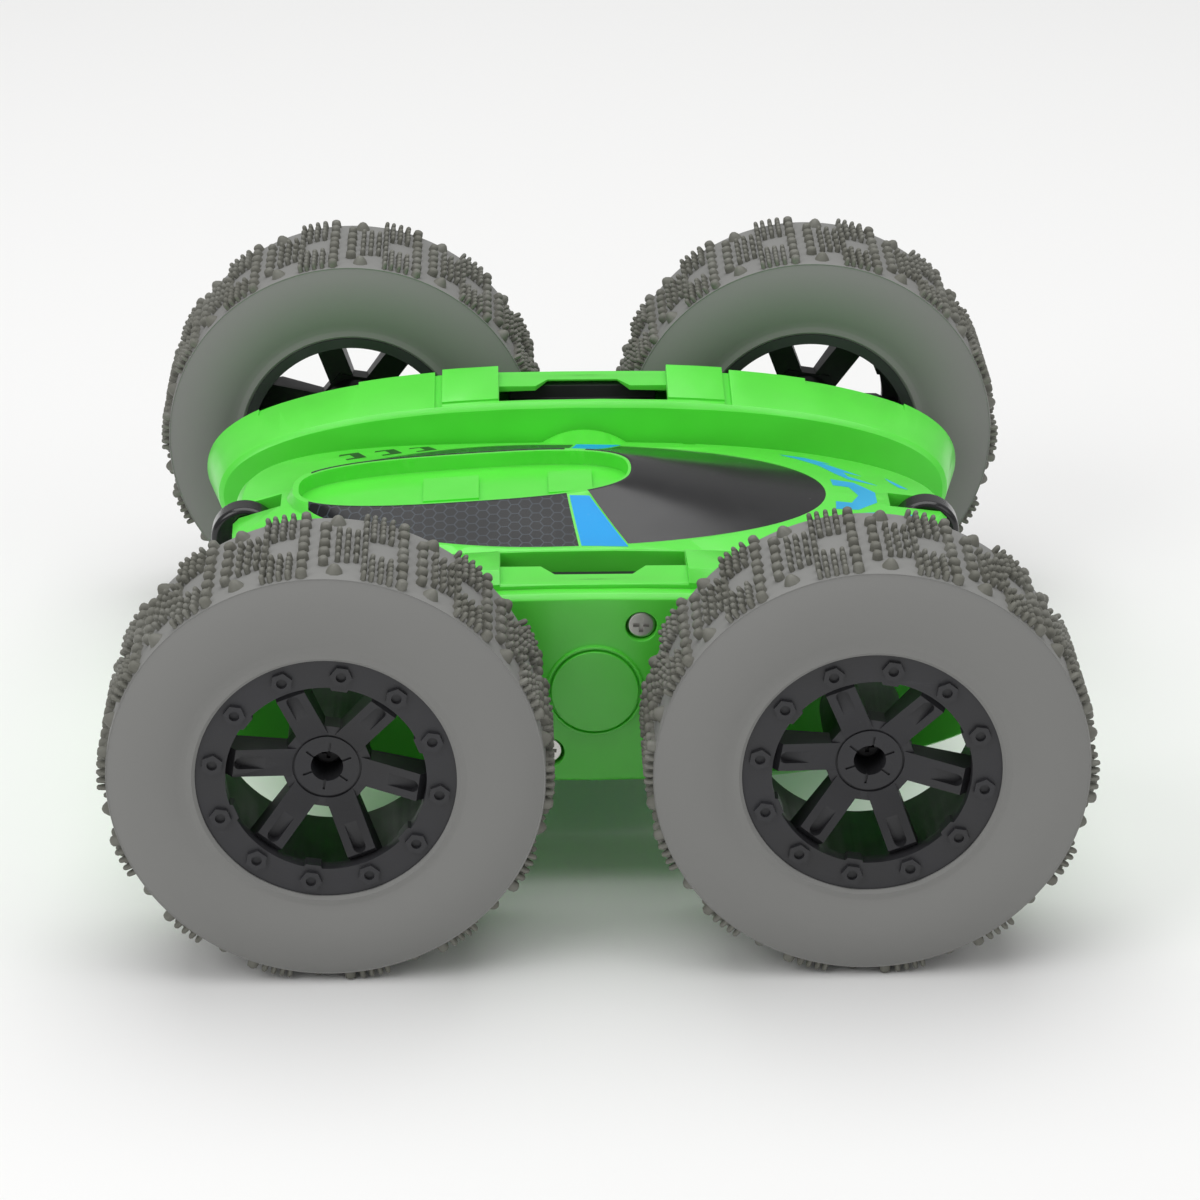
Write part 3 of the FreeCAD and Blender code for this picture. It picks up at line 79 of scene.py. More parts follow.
# ---- shader building ----------------------------------------------------------------------------
class Shader:
    """A node tree under construction, with short calls for adding and joining nodes."""

    def __init__(self, tree: bpy.types.NodeTree) -> None:
        """Keep the tree to build in."""
        self.tree = tree

    def add(self, kind: str, **settings: object) -> bpy.types.Node:
        """Add a node.

        Args:
            kind: Blender's name of the node type.
            settings: properties to set on the node.

        Returns:
            The new node.
        """
        node = self.tree.nodes.new(kind)
        for name, value in settings.items():
            setattr(node, name, value)
        return node

    def feed(self, socket: bpy.types.NodeSocket, value: object) -> None:
        """Link a socket to another socket, or set its value."""
        if isinstance(value, bpy.types.NodeSocket):
            self.tree.links.new(value, socket)
        else:
            socket.default_value = value

    def math(self, operation: str, *values: object) -> bpy.types.NodeSocket:
        """Add a Math node over the values.

        Args:
            operation: the Math node's operation.
            values: sockets or numbers for its inputs.

        Returns:
            The result socket.
        """
        node = self.add("ShaderNodeMath", operation=operation)
        for socket, value in zip(node.inputs, values):
            self.feed(socket, value)
        return node.outputs[0]

    def ramp(self, value: object, low: float, high: float, start: float = 0.0,
             end: float = 1.0) -> bpy.types.NodeSocket:
        """Map a value smoothly from low..high to start..end.

        Args:
            value: the socket to map.
            low: input that gives start.
            high: input that gives end.
            start: result at low.
            end: result at high.

        Returns:
            The mapped socket.
        """
        node = self.add("ShaderNodeMapRange", interpolation_type="SMOOTHSTEP")
        for name, item in (("Value", value), ("From Min", low), ("From Max", high),
                           ("To Min", start), ("To Max", end)):
            self.feed(node.inputs[name], item)
        return node.outputs["Result"]

    def mix(self, factor: object, first: object, second: object) -> bpy.types.NodeSocket:
        """Mix two colours.

        Args:
            factor: share of the second colour.
            first: colour or socket at factor 0.
            second: colour or socket at factor 1.

        Returns:
            The mixed colour socket.
        """
        node = self.add("ShaderNodeMix", data_type="RGBA")
        self.feed(node.inputs[0], factor)
        self.feed(node.inputs[6], first)
        self.feed(node.inputs[7], second)
        return node.outputs[2]

    def noise(self, vector: object, scale: object, detail: float = 3.0,
              roughness: float = 0.5) -> bpy.types.NodeSocket:
        """Add a noise texture.

        Args:
            vector: coordinates.
            scale: cells per metre.
            detail: octaves.
            roughness: strength of the fine octaves.

        Returns:
            The noise value socket.
        """
        node = self.add("ShaderNodeTexNoise")
        self.feed(node.inputs["Vector"], vector)
        self.feed(node.inputs["Scale"], scale)
        node.inputs["Detail"].default_value = detail
        node.inputs["Roughness"].default_value = roughness
        return node.outputs["Fac"]


def shader_group(name: str, inputs: Sequence[tuple[str, str, float]], outputs: Sequence[str],
                 fill: Callable[[Shader, bpy.types.Node, bpy.types.Node], None]) -> bpy.types.NodeTree:
    """Build a shader node group once.

    Args:
        name: the group's name.
        inputs: name, socket type and default of each input.
        outputs: names of the value outputs.
        fill: function that adds the nodes between the group's input and output nodes.

    Returns:
        The group's node tree.
    """
    tree = bpy.data.node_groups.new(name, "ShaderNodeTree")
    for label, kind, default in inputs:
        socket = tree.interface.new_socket(name=label, in_out="INPUT", socket_type=kind)
        if kind == "NodeSocketFloat":
            socket.default_value = default
    for label in outputs:
        tree.interface.new_socket(name=label, in_out="OUTPUT", socket_type="NodeSocketFloat")
    shader = Shader(tree)
    fill(shader, shader.add("NodeGroupInput"), shader.add("NodeGroupOutput"))
    return tree


def fill_grain(shader: Shader, source: bpy.types.Node, result: bpy.types.Node) -> None:
    """Fine moulded grain: a height for bump and a slow mask for colour and gloss."""
    fine = shader.noise(source.outputs["Vector"], source.outputs["Scale"], 4.0, 0.6)
    slow = shader.noise(source.outputs["Vector"], shader.math("MULTIPLY", source.outputs["Scale"], 0.03),
                        2.0, 0.5)
    shader.feed(result.inputs["Height"], fine)
    shader.feed(result.inputs["Cloud"], shader.ramp(slow, 0.3, 0.7))


def fill_marks(shader: Shader, source: bpy.types.Node, result: bpy.types.Node) -> None:
    """Fine scratches and dust specks left by handling."""
    stretch = shader.add("ShaderNodeMapping")
    shader.feed(stretch.inputs["Vector"], source.outputs["Vector"])
    stretch.inputs["Rotation"].default_value = (0.3, 0.2, 0.7)
    stretch.inputs["Scale"].default_value = (1.0, 14.0, 6.0)
    lines = shader.noise(stretch.outputs["Vector"], source.outputs["Scale"], 5.0, 0.7)
    scratch = shader.ramp(lines, 0.66, 0.74)
    specks = shader.add("ShaderNodeTexVoronoi")
    shader.feed(specks.inputs["Vector"], source.outputs["Vector"])
    shader.feed(specks.inputs["Scale"], shader.math("MULTIPLY", source.outputs["Scale"], 4.0))
    dust = shader.ramp(specks.outputs["Distance"], 0.07, 0.02)
    amount = source.outputs["Amount"]
    shader.feed(result.inputs["Scratch"], shader.math("MULTIPLY", scratch, amount))
    shader.feed(result.inputs["Dust"], shader.math("MULTIPLY", dust, amount))


def fill_honeycomb(shader: Shader, source: bpy.types.Node, result: bpy.types.Node) -> None:
    """Hexagonal line print in plan: distance to the nearest cell edge of two offset grids."""
    split = shader.add("ShaderNodeSeparateXYZ")
    shader.feed(split.inputs[0], source.outputs["Vector"])
    cell = source.outputs["Cell"]
    across = shader.math("DIVIDE", split.outputs["Y"], cell)
    along = shader.math("DIVIDE", split.outputs["X"], cell)
    row = math.sqrt(3.0)
    edges = []
    sizes = []
    for shift in (0.0, 0.5):
        x = shader.math("WRAP", shader.math("ADD", across, shift), 0.5, -0.5)
        y = shader.math("WRAP", shader.math("ADD", along, shift * row), row / 2, -row / 2)
        x = shader.math("ABSOLUTE", x)
        y = shader.math("ABSOLUTE", y)
        lean = shader.math("ADD", shader.math("MULTIPLY", x, 0.5), shader.math("MULTIPLY", y, row / 2))
        edges.append(shader.math("SUBTRACT", 0.5, shader.math("MAXIMUM", x, lean)))
        sizes.append(shader.math("ADD", shader.math("MULTIPLY", x, x), shader.math("MULTIPLY", y, y)))
    nearer = shader.math("LESS_THAN", sizes[0], sizes[1])
    edge = shader.math("ADD", shader.math("MULTIPLY", nearer, edges[0]),
                       shader.math("MULTIPLY", shader.math("SUBTRACT", 1.0, nearer), edges[1]))
    line = source.outputs["Line"]
    shader.feed(result.inputs["Line"], shader.ramp(edge, line, shader.math("MULTIPLY", line, 0.5)))


def fill_brushing(shader: Shader, source: bpy.types.Node, result: bpy.types.Node) -> None:
    """Lathe and drawing marks on turned metal, running round the part."""
    stretch = shader.add("ShaderNodeMapping")
    shader.feed(stretch.inputs["Vector"], source.outputs["Vector"])
    stretch.inputs["Scale"].default_value = (1.0, 22.0, 1.0)
    shader.feed(result.inputs["Height"], shader.noise(stretch.outputs["Vector"], source.outputs["Scale"],
                                                      5.0, 0.65))


VECTOR_INPUT = ("Vector", "NodeSocketVector", 0.0)
GRAIN = shader_group("moulded grain", [VECTOR_INPUT, ("Scale", "NodeSocketFloat", 2500.0)],
                     ["Height", "Cloud"], fill_grain)
MARKS = shader_group("handling marks", [VECTOR_INPUT, ("Scale", "NodeSocketFloat", 60.0),
                                        ("Amount", "NodeSocketFloat", 1.0)],
                     ["Scratch", "Dust"], fill_marks)
HONEYCOMB = shader_group("honeycomb print", [VECTOR_INPUT, ("Cell", "NodeSocketFloat", 0.00205),
                                             ("Line", "NodeSocketFloat", 0.075)],
                         ["Line"], fill_honeycomb)
BRUSHING = shader_group("turning marks", [VECTOR_INPUT, ("Scale", "NodeSocketFloat", 900.0)],
                        ["Height"], fill_brushing)


class Print(Enum):
    """Patterns that a finish may carry."""

    NONE = "none"
    HONEYCOMB = "honeycomb"
    TURNED = "turned"
    CIRCUIT = "circuit"


@dataclass(frozen=True)
class Finish:
    """A surface finish: its colours, gloss, grain and marks, all over Object coordinates."""

    name: str
    colour: tuple[float, float, float]
    second: tuple[float, float, float]
    rough: float
    rough_spread: float = 0.08
    metallic: float = 0.0
    coat: float = 0.0
    grain_scale: float = 2500.0
    grain_depth: float = 0.00002
    marks: float = 0.3
    mark_colour: tuple[float, float, float] = (0.5, 0.5, 0.5)
    pattern: Print = Print.NONE
    pattern_colour: tuple[float, float, float] = (0.1, 0.13, 0.16)
    glow_depth: float = 0.0
    specular: float = 0.5

    def group(self, shader: Shader, tree: bpy.types.NodeTree, vector: object,
              **values: float) -> bpy.types.Node:
        """Place a shared node group.

        Args:
            shader: the material's tree.
            tree: the group to place.
            vector: coordinates to feed it.
            values: values for its other inputs.

        Returns:
            The group node.
        """
        node = shader.add("ShaderNodeGroup")
        node.node_tree = tree
        shader.feed(node.inputs["Vector"], vector)
        for label, value in values.items():
            node.inputs[label].default_value = value
        return node

    def build(self) -> bpy.types.Material:
        """Build the finish as a material, once.

        Returns:
            The material.
        """
        known = bpy.data.materials.get(self.name)
        if known is not None:
            return known
        material = bpy.data.materials.new(self.name)
        material.use_nodes = True
        material.diffuse_color = (*self.colour, 1.0)
        shader = Shader(material.node_tree)
        surface = material.node_tree.nodes["Principled BSDF"]
        vector = shader.add("ShaderNodeTexCoord").outputs["Object"]
        grain = self.group(shader, GRAIN, vector, Scale=self.grain_scale)
        marks = self.group(shader, MARKS, vector, Amount=self.marks)
        colour = shader.mix(grain.outputs["Cloud"], (*self.colour, 1.0), (*self.second, 1.0))
        height = grain.outputs["Height"]
        if self.pattern is Print.HONEYCOMB:
            lines = self.group(shader, HONEYCOMB, vector).outputs["Line"]
            colour = shader.mix(lines, colour, (*self.pattern_colour, 1.0))
        elif self.pattern is Print.TURNED:
            height = self.group(shader, BRUSHING, vector).outputs["Height"]
        elif self.pattern is Print.CIRCUIT:
            tracks = shader.add("ShaderNodeTexBrick")
            shader.feed(tracks.inputs["Vector"], vector)
            tracks.inputs["Scale"].default_value = 600.0
            tracks.inputs["Mortar Size"].default_value = 0.03
            colour = shader.mix(tracks.outputs["Fac"], colour, (*self.pattern_colour, 1.0))
        dirt = shader.math("MINIMUM", shader.math("ADD", marks.outputs["Scratch"],
                                                  marks.outputs["Dust"]), 1.0)
        colour = shader.mix(shader.math("MULTIPLY", dirt, 0.35), colour, (*self.mark_colour, 1.0))
        shader.feed(surface.inputs["Base Color"], colour)
        rough = shader.ramp(grain.outputs["Cloud"], 0.0, 1.0, self.rough, self.rough + self.rough_spread)
        rough = shader.math("ADD", rough, shader.math("MULTIPLY", dirt, 0.15))
        shader.feed(surface.inputs["Roughness"], rough)
        surface.inputs["Metallic"].default_value = self.metallic
        surface.inputs["Specular IOR Level"].default_value = self.specular
        surface.inputs["Coat Weight"].default_value = self.coat
        surface.inputs["Coat Roughness"].default_value = 0.12
        if self.glow_depth:
            surface.inputs["Subsurface Weight"].default_value = 0.25
            surface.inputs["Subsurface Scale"].default_value = self.glow_depth
            surface.inputs["Subsurface Radius"].default_value = (0.3, 1.0, 0.25)
        bump = shader.add("ShaderNodeBump")
        bump.inputs["Strength"].default_value = 0.6
        bump.inputs["Distance"].default_value = self.grain_depth
        shader.feed(bump.inputs["Height"], height)
        shader.feed(surface.inputs["Normal"], bump.outputs["Normal"])
        return material


GREEN = Finish("green_body_plastic", (0.110, 0.76, 0.060), (0.100, 0.72, 0.052), 0.28, 0.07, coat=0.15,
               grain_scale=3000.0, grain_depth=0.00001, marks=0.12, mark_colour=(0.3, 0.85, 0.25),
               glow_depth=0.0015)
TYRE = Finish("tyre_rubber", (0.205, 0.205, 0.200), (0.185, 0.186, 0.180), 0.62, 0.12,
              grain_scale=4200.0, grain_depth=0.00003, marks=0.25, mark_colour=(0.42, 0.42, 0.40))
STUD = Finish("tyre_stud_rubber", (0.168, 0.168, 0.146), (0.135, 0.134, 0.112), 0.52, 0.14,
              grain_scale=3600.0, grain_depth=0.00004, marks=0.5, mark_colour=(0.36, 0.36, 0.32))
WHEEL = Finish("wheel_black_plastic", (0.018, 0.018, 0.020), (0.026, 0.026, 0.030), 0.42, 0.12,
               grain_scale=2800.0, grain_depth=0.00003, marks=0.35, mark_colour=(0.12, 0.12, 0.13))
BLACK = Finish("gearbox_black_plastic", (0.012, 0.012, 0.013), (0.018, 0.018, 0.020), 0.45, 0.1,
               marks=0.2, mark_colour=(0.1, 0.1, 0.1))
ROLLER = Finish("roller_gloss_black", (0.005, 0.005, 0.006), (0.008, 0.008, 0.009), 0.18, 0.05,
                coat=0.15, marks=0.25, mark_colour=(0.1, 0.1, 0.1))
WINDOW = Finish("windscreen_gloss_black", (0.006, 0.006, 0.007), (0.010, 0.010, 0.011), 0.20, 0.06,
                coat=0.05, grain_depth=0.000006, marks=0.35, mark_colour=(0.16, 0.16, 0.16))
SIDE_WINDOW = Finish("side_window_honeycomb", (0.006, 0.007, 0.009), (0.010, 0.011, 0.013), 0.24, 0.08,
                     coat=0.0, specular=0.3, grain_depth=0.000008, marks=0.35, mark_colour=(0.16, 0.16, 0.16),
                     pattern=Print.HONEYCOMB, pattern_colour=(0.035, 0.043, 0.055))
BLUE = Finish("blue_stripe_film", (0.0, 0.30, 0.74), (0.001, 0.33, 0.78), 0.30, 0.06, coat=0.0,
              specular=0.25,
              marks=0.15, mark_colour=(0.4, 0.6, 0.9))
BLUE_PRINT = Finish("blue_deck_print", (0.012, 0.33, 0.62), (0.03, 0.42, 0.72), 0.30, 0.08,
                    marks=0.3, mark_colour=(0.2, 0.6, 0.5))
DARK_PRINT = Finish("dark_deck_print", (0.004, 0.030, 0.004), (0.008, 0.045, 0.008), 0.34, 0.08,
                    marks=0.3, mark_colour=(0.1, 0.3, 0.1))
STEEL = Finish("turned_steel", (0.50, 0.50, 0.51), (0.42, 0.42, 0.44), 0.24, 0.12, metallic=1.0,
               marks=0.4, mark_colour=(0.3, 0.3, 0.3), pattern=Print.TURNED, grain_depth=0.00001)
SCREW = Finish("bright_screw_steel", (0.62, 0.61, 0.58), (0.50, 0.49, 0.47), 0.22, 0.1, metallic=1.0,
               marks=0.5, mark_colour=(0.3, 0.3, 0.28), pattern=Print.TURNED, grain_depth=0.00001)
# Screws of the dark_screw slot are painted near black: painted shade that stands in for the shade of the deep
# holes they sit in. The real screw heads are not black.
SCREW_PAINTED_SHADE = Finish("blackened_screw", (0.020, 0.020, 0.021), (0.030, 0.030, 0.031), 0.38, 0.1, marks=0.3,
                    mark_colour=(0.1, 0.1, 0.1), pattern=Print.TURNED, grain_depth=0.00001)
BRASS = Finish("turned_brass", (0.66, 0.46, 0.16), (0.58, 0.38, 0.12), 0.26, 0.1, metallic=1.0,
               marks=0.4, mark_colour=(0.3, 0.2, 0.1), pattern=Print.TURNED, grain_depth=0.00001)
NYLON = Finish("natural_nylon", (0.74, 0.73, 0.68), (0.68, 0.67, 0.62), 0.38, 0.1, marks=0.3,
               mark_colour=(0.5, 0.5, 0.45), glow_depth=0.001)
WRAP = Finish("battery_shrink_wrap", (0.006, 0.20, 0.62), (0.008, 0.24, 0.68), 0.22, 0.1, coat=0.4,
              marks=0.3, mark_colour=(0.4, 0.5, 0.7))
BOARD = Finish("circuit_board_green", (0.010, 0.11, 0.035), (0.014, 0.13, 0.045), 0.30, 0.1, marks=0.2,
               pattern=Print.CIRCUIT, pattern_colour=(0.05, 0.25, 0.10))
SLOT_FINISHES = {"tyre_rubber": TYRE, "wheel_plastic": WHEEL, "steel": STEEL, "screw_steel": SCREW,
                 # dark_screw gets painted shade: near-black screws in place of shaded deep holes
                 "dark_screw": SCREW_PAINTED_SHADE,
                 "brass": BRASS, "gear_nylon": NYLON, "green_plastic": GREEN, "battery_wrap": WRAP,
                 "circuit_board": BOARD, "black_plastic": BLACK, "roller_plastic": ROLLER,
                 "window_black": WINDOW, "window_honeycomb": SIDE_WINDOW, "motor_can": STEEL}


# ---- mesh helpers -------------------------------------------------------------------------------
def link_mesh(name: str, mesh: bpy.types.Mesh) -> bpy.types.Object:
    """Put a finished mesh in the scene as an object at the origin."""
    piece = bpy.data.objects.new(name, mesh)
    bpy.context.scene.collection.objects.link(piece)
    return piece


def mesh_from(name: str, build: bmesh.types.BMesh, sharp_degrees: float = 32.0) -> bpy.types.Mesh:
    """Turn an editable mesh into a mesh with outward faces and smooth shading.

    Args:
        name: the mesh's name.
        build: the editable mesh, which is freed.
        sharp_degrees: edges that turn more than this stay sharp.

    Returns:
        The finished mesh.
    """
    bmesh.ops.remove_doubles(build, verts=build.verts, dist=0.2 * MM * MM)
    bmesh.ops.recalc_face_normals(build, faces=build.faces)
    mesh = bpy.data.meshes.new(name)
    build.to_mesh(mesh)
    build.free()
    mesh.shade_smooth()
    mesh.set_sharp_from_angle(angle=math.radians(sharp_degrees))
    return mesh


def revolve(profile: Sequence[Point], segments: int) -> bmesh.types.BMesh:
    """Revolve a closed profile about the Y axis.

    Args:
        profile: points (distance along Y, radius), in metres.
        segments: faces round the circle.

    Returns:
        The closed ring as an editable mesh.
    """
    build = bmesh.new()
    rings = []
    for number in range(segments):
        angle = 2 * math.pi * number / segments
        direction = Vector((math.sin(angle), 0.0, math.cos(angle)))
        rings.append([build.verts.new(direction * radius + Vector((0, along, 0)))
                      for along, radius in profile])
    count = len(profile)
    for number in range(segments):
        this, following = rings[number], rings[(number + 1) % segments]
        for corner in range(count):
            after = (corner + 1) % count
            build.faces.new((this[corner], this[after], following[after], following[corner]))
    return build


def arc_points(start: Point, end: Point, bulge: float, count: int) -> list[Point]:
    """Points of a shallow arc.

    Args:
        start: first point.
        end: last point.
        bulge: how far the middle stands out along the first coordinate.
        count: number of steps.

    Returns:
        The points, both ends included.
    """
    points = []
    for step in range(count + 1):
        share = step / count
        along = start[0] + (end[0] - start[0]) * share + bulge * 4 * share * (1 - share)
        points.append((along, start[1] + (end[1] - start[1]) * share))
    return points


# ---- tyres --------------------------------------------------------------------------------------
@dataclass
class Tread:
    """The studs of one tread unit, repeated round the tyre by Geometry Nodes."""

    units: int = 14
    stud_length: float = 0.95 * MM      # round the tyre
    stud_width: float = 1.15 * MM       # across the tyre
    block_length: float = 1.75 * MM
    block_width: float = 1.55 * MM
    stud_height: float = 1.30 * MM
    cone_radius: float = 1.25 * MM
    link_height: float = 0.45 * MM      # thin web that joins the studs of a row
    half_width: float = 11.8 * MM
    crown: float = 33.72 * MM
    rows: tuple[tuple[float, float, float, int, bool], ...] = field(default_factory=lambda: (
        # share of the unit, low and high end across the tread, number of studs, wide block
        (0.020, -0.56, 0.56, 5, True),
        (0.158, -0.42, 0.45, 5, False),
        (0.250, -0.40, 0.45, 5, False),
        (0.342, -0.38, 0.42, 4, False),
        (0.425, -0.93, 0.93, 9, False),
        (0.502, 0.34, 0.93, 4, False),
        (0.502, -0.93, -0.34, 5, False),
        (0.592, 0.36, 0.93, 4, False),
        (0.592, -0.93, -0.36, 5, False),
        (0.684, 0.36, 0.93, 5, False),
        (0.684, -0.93, -0.36, 4, False),
        (0.812, 0.10, 0.95, 4, True),
        (0.812, -0.95, -0.10, 4, True)))

    def stud(self, build: bmesh.types.BMesh, length: float, width: float, height: float,
             turn: float, across: float, top_share: float = 0.66) -> None:
        """Add one stud that tapers to a rounded top.

        Args:
            build: mesh to add to.
            length: size round the tyre.
            width: size across the tyre.
            height: height above the crown.
            turn: angle round the tyre.
            across: place across the tyre, in metres.
            top_share: size of the top against the foot.
        """
        spin = Matrix.Rotation(turn, 4, "Y")
        if top_share < 0.5:
            layers = ((1.0, -0.3 * MM), (0.72, height * 0.4), (0.40, height * 0.85), (top_share, height))
        else:
            layers = ((1.0, -0.3 * MM), (0.94, height * 0.45), (0.82, height * 0.82),
                      (top_share * 0.72, height))
        rings = []
        for share, rise in layers:
            ring = []
            for corner in range(8):
                angle = math.pi / 4 * corner + math.pi / 8
                reach = 1.08 / max(abs(math.cos(angle)), abs(math.sin(angle))) * 0.5
                place = Vector((math.cos(angle) * reach * length * share,
                                across + math.sin(angle) * reach * width * share,
                                self.crown + rise))
                ring.append(build.verts.new(spin @ place))
            rings.append(ring)
        for lower, upper in zip(rings, rings[1:]):
            for corner in range(8):
                after = (corner + 1) % 8
                build.faces.new((lower[corner], lower[after], upper[after], upper[corner]))
        build.faces.new(rings[-1])
        build.faces.new(list(reversed(rings[0])))

    def unit(self) -> bpy.types.Object:
        """Build the studs of one unit about the wheel's own centre.

        Returns:
            An object that holds the unit's mesh.
        """
        build = bmesh.new()
        pitch = 2 * math.pi / self.units
        for share, low, high, count, wide in self.rows:
            length = self.block_length if wide else self.stud_length
            width = self.block_width if wide else self.stud_width
            for number in range(count):
                across = (low + (high - low) * number / (count - 1)) * self.half_width
                across = max(-self.half_width + width * 0.62, min(self.half_width - width * 0.62, across))
                wave = 0.92 + 0.08 * math.cos(2.4 * number + 5.0 * share)
                self.stud(build, length * wave, width, self.stud_height, share * pitch, across)
            middle = (low + high) / 2 * self.half_width
            span = (high - low) * self.half_width * 0.92
            self.stud(build, length * 0.55, span, self.link_height, share * pitch, middle, 1.2)
        for end in (-0.80, 0.80):
            self.stud(build, 2 * self.cone_radius, 2 * self.cone_radius, self.stud_height,
                      0.135 * pitch, end * self.half_width, 0.14)
        mesh = bpy.data.meshes.new("tread_unit")
        bmesh.ops.recalc_face_normals(build, faces=build.faces)
        build.to_mesh(mesh)
        build.free()
        mesh.shade_smooth()
        mesh.set_sharp_from_angle(angle=math.radians(50))
        return link_mesh("tread_unit", mesh)

    def node_tree(self) -> bpy.types.NodeTree:
        """Build the Geometry Nodes tree that sets the unit round the wheel.

        Returns:
            The node tree, with Units, Unit and Material as inputs.
        """
        tree = bpy.data.node_groups.new("tread ring", "GeometryNodeTree")
        face = tree.interface
        face.new_socket(name="Geometry", in_out="INPUT", socket_type="NodeSocketGeometry")
        face.new_socket(name="Units", in_out="INPUT", socket_type="NodeSocketInt")
        face.new_socket(name="Unit", in_out="INPUT", socket_type="NodeSocketObject")
        face.new_socket(name="Material", in_out="INPUT", socket_type="NodeSocketMaterial")
        face.new_socket(name="Geometry", in_out="OUTPUT", socket_type="NodeSocketGeometry")
        shader = Shader(tree)
        source = shader.add("NodeGroupInput")
        result = shader.add("NodeGroupOutput")
        points = shader.add("GeometryNodeMeshLine")
        shader.feed(points.inputs["Count"], source.outputs["Units"])
        points.inputs["Offset"].default_value = (0.0, 0.0, 0.0)
        index = shader.add("GeometryNodeInputIndex")
        pitch = shader.math("DIVIDE", 2 * math.pi, source.outputs["Units"])
        turn = shader.add("ShaderNodeCombineXYZ")
        shader.feed(turn.inputs["Y"], shader.math("MULTIPLY", index.outputs[0], pitch))
        unit = shader.add("GeometryNodeObjectInfo")
        shader.feed(unit.inputs["Object"], source.outputs["Unit"])
        copies = shader.add("GeometryNodeInstanceOnPoints")
        shader.feed(copies.inputs["Points"], points.outputs["Mesh"])
        shader.feed(copies.inputs["Instance"], unit.outputs["Geometry"])
        shader.feed(copies.inputs["Rotation"], turn.outputs["Vector"])
        real = shader.add("GeometryNodeRealizeInstances")
        shader.feed(real.inputs["Geometry"], copies.outputs["Instances"])
        dress = shader.add("GeometryNodeSetMaterial")
        shader.feed(dress.inputs["Geometry"], real.outputs["Geometry"])
        shader.feed(dress.inputs["Material"], source.outputs["Material"])
        shader.feed(result.inputs["Geometry"], dress.outputs["Geometry"])
        return tree

    def ring(self) -> bpy.types.Mesh:
        """Evaluate the tree to a plain mesh of all the studs, about the wheel's own centre.

        Returns:
            The mesh.
        """
        unit = self.unit()
        holder = link_mesh("tread_ring", bpy.data.meshes.new("tread_ring"))
        modifier = holder.modifiers.new("ring", "NODES")
        modifier.node_group = self.node_tree()
        sockets = {item.name: item.identifier for item in modifier.node_group.interface.items_tree
                   if item.in_out == "INPUT"}
        modifier[sockets["Units"]] = self.units
        modifier[sockets["Unit"]] = unit
        modifier[sockets["Material"]] = STUD.build()
        graph = bpy.context.evaluated_depsgraph_get()
        mesh = bpy.data.meshes.new_from_object(holder.evaluated_get(graph))
        bpy.data.objects.remove(holder)
        bpy.data.objects.remove(unit)
        return mesh


@dataclass
class Tyre:
    """Hollow studded tyre: a smooth carcass with a crisp shoulder, and the tread's studs."""

    tread: Tread = field(default_factory=Tread)
    shoulder_radius: float = 33.3 * MM
    bead_radius: float = 20.0 * MM
    bead_half_width: float = 12.0 * MM
    side_bulge: float = 1.35 * MM
    shoulder_edge: float = 0.35 * MM
    wall: float = 2.2 * MM
    segments: int = 168

    def profile(self) -> list[Point]:
        """Closed section of the carcass as (distance along Y, radius)."""
        half = self.tread.half_width
        shoulder = (half, self.shoulder_radius)
        bead_lip = (self.bead_half_width + 0.15 * MM, self.bead_radius + 0.5 * MM)
        outer = [(self.bead_half_width - 0.3 * MM, self.bead_radius), bead_lip,
                 (self.bead_half_width, self.bead_radius + 1.3 * MM)]
        outer += arc_points((self.bead_half_width, self.bead_radius + 1.7 * MM), shoulder,
                            self.side_bulge, 10)
        edge = self.shoulder_edge
        outer += [(half + 0.05 * MM, self.shoulder_radius + edge * 0.6),
                  (half - edge, self.shoulder_radius + edge)]
        crown = [(half * share, self.tread.crown - 0.12 * MM * share * share) for share in (0.8, 0.45, 0.0)]
        side = outer + crown
        inner_y = self.bead_half_width - self.wall
        inner = [(-inner_y, self.bead_radius), (-inner_y, self.shoulder_radius - self.wall),
                 (inner_y, self.shoulder_radius - self.wall), (inner_y, self.bead_radius)]
        return side + [(-along, radius) for along, radius in reversed(side[:-1])] + inner

    def build(self, node: str, body: str, studs: bpy.types.Mesh) -> bpy.types.Object:
        """Build one tyre in place of its CAD node.

        Args:
            node: the CAD tyre's node.
            body: the wheel's body.
            studs: the ring of studs about the wheel's own centre.

        Returns:
            The tyre.
        """
        low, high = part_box(node)
        centre = (low + high) / 2
        build = revolve(self.profile(), self.segments)
        bmesh.ops.recalc_face_normals(build, faces=build.faces)
        carcass = bpy.data.meshes.new(node + "_carcass")
        build.to_mesh(carcass)
        build.free()
        carcass.shade_smooth()
        carcass.set_sharp_from_angle(angle=math.radians(34))
        joined = bmesh.new()
        joined.from_mesh(carcass)
        plain_faces = len(joined.faces)
        joined.from_mesh(studs)
        joined.faces.ensure_lookup_table()
        for number, face in enumerate(joined.faces):
            face.material_index = 0 if number < plain_faces else 1
        outward = 1 if centre.y > 0 else -1
        flip = Matrix.Scale(outward, 4, Vector((0, 1, 0)))
        bmesh.ops.transform(joined, matrix=Matrix.Translation(centre) @ flip, verts=joined.verts)
        if outward < 0:
            bmesh.ops.reverse_faces(joined, faces=joined.faces)
        mesh = bpy.data.meshes.new(node + "_studded")
        joined.to_mesh(mesh)
        joined.free()
        bpy.data.meshes.remove(carcass)
        mesh.materials.append(TYRE.build())
        mesh.materials.append(STUD.build())
        piece = link_mesh(node + "_studded", mesh)
        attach(piece, body)
        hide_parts(node)
        return piece


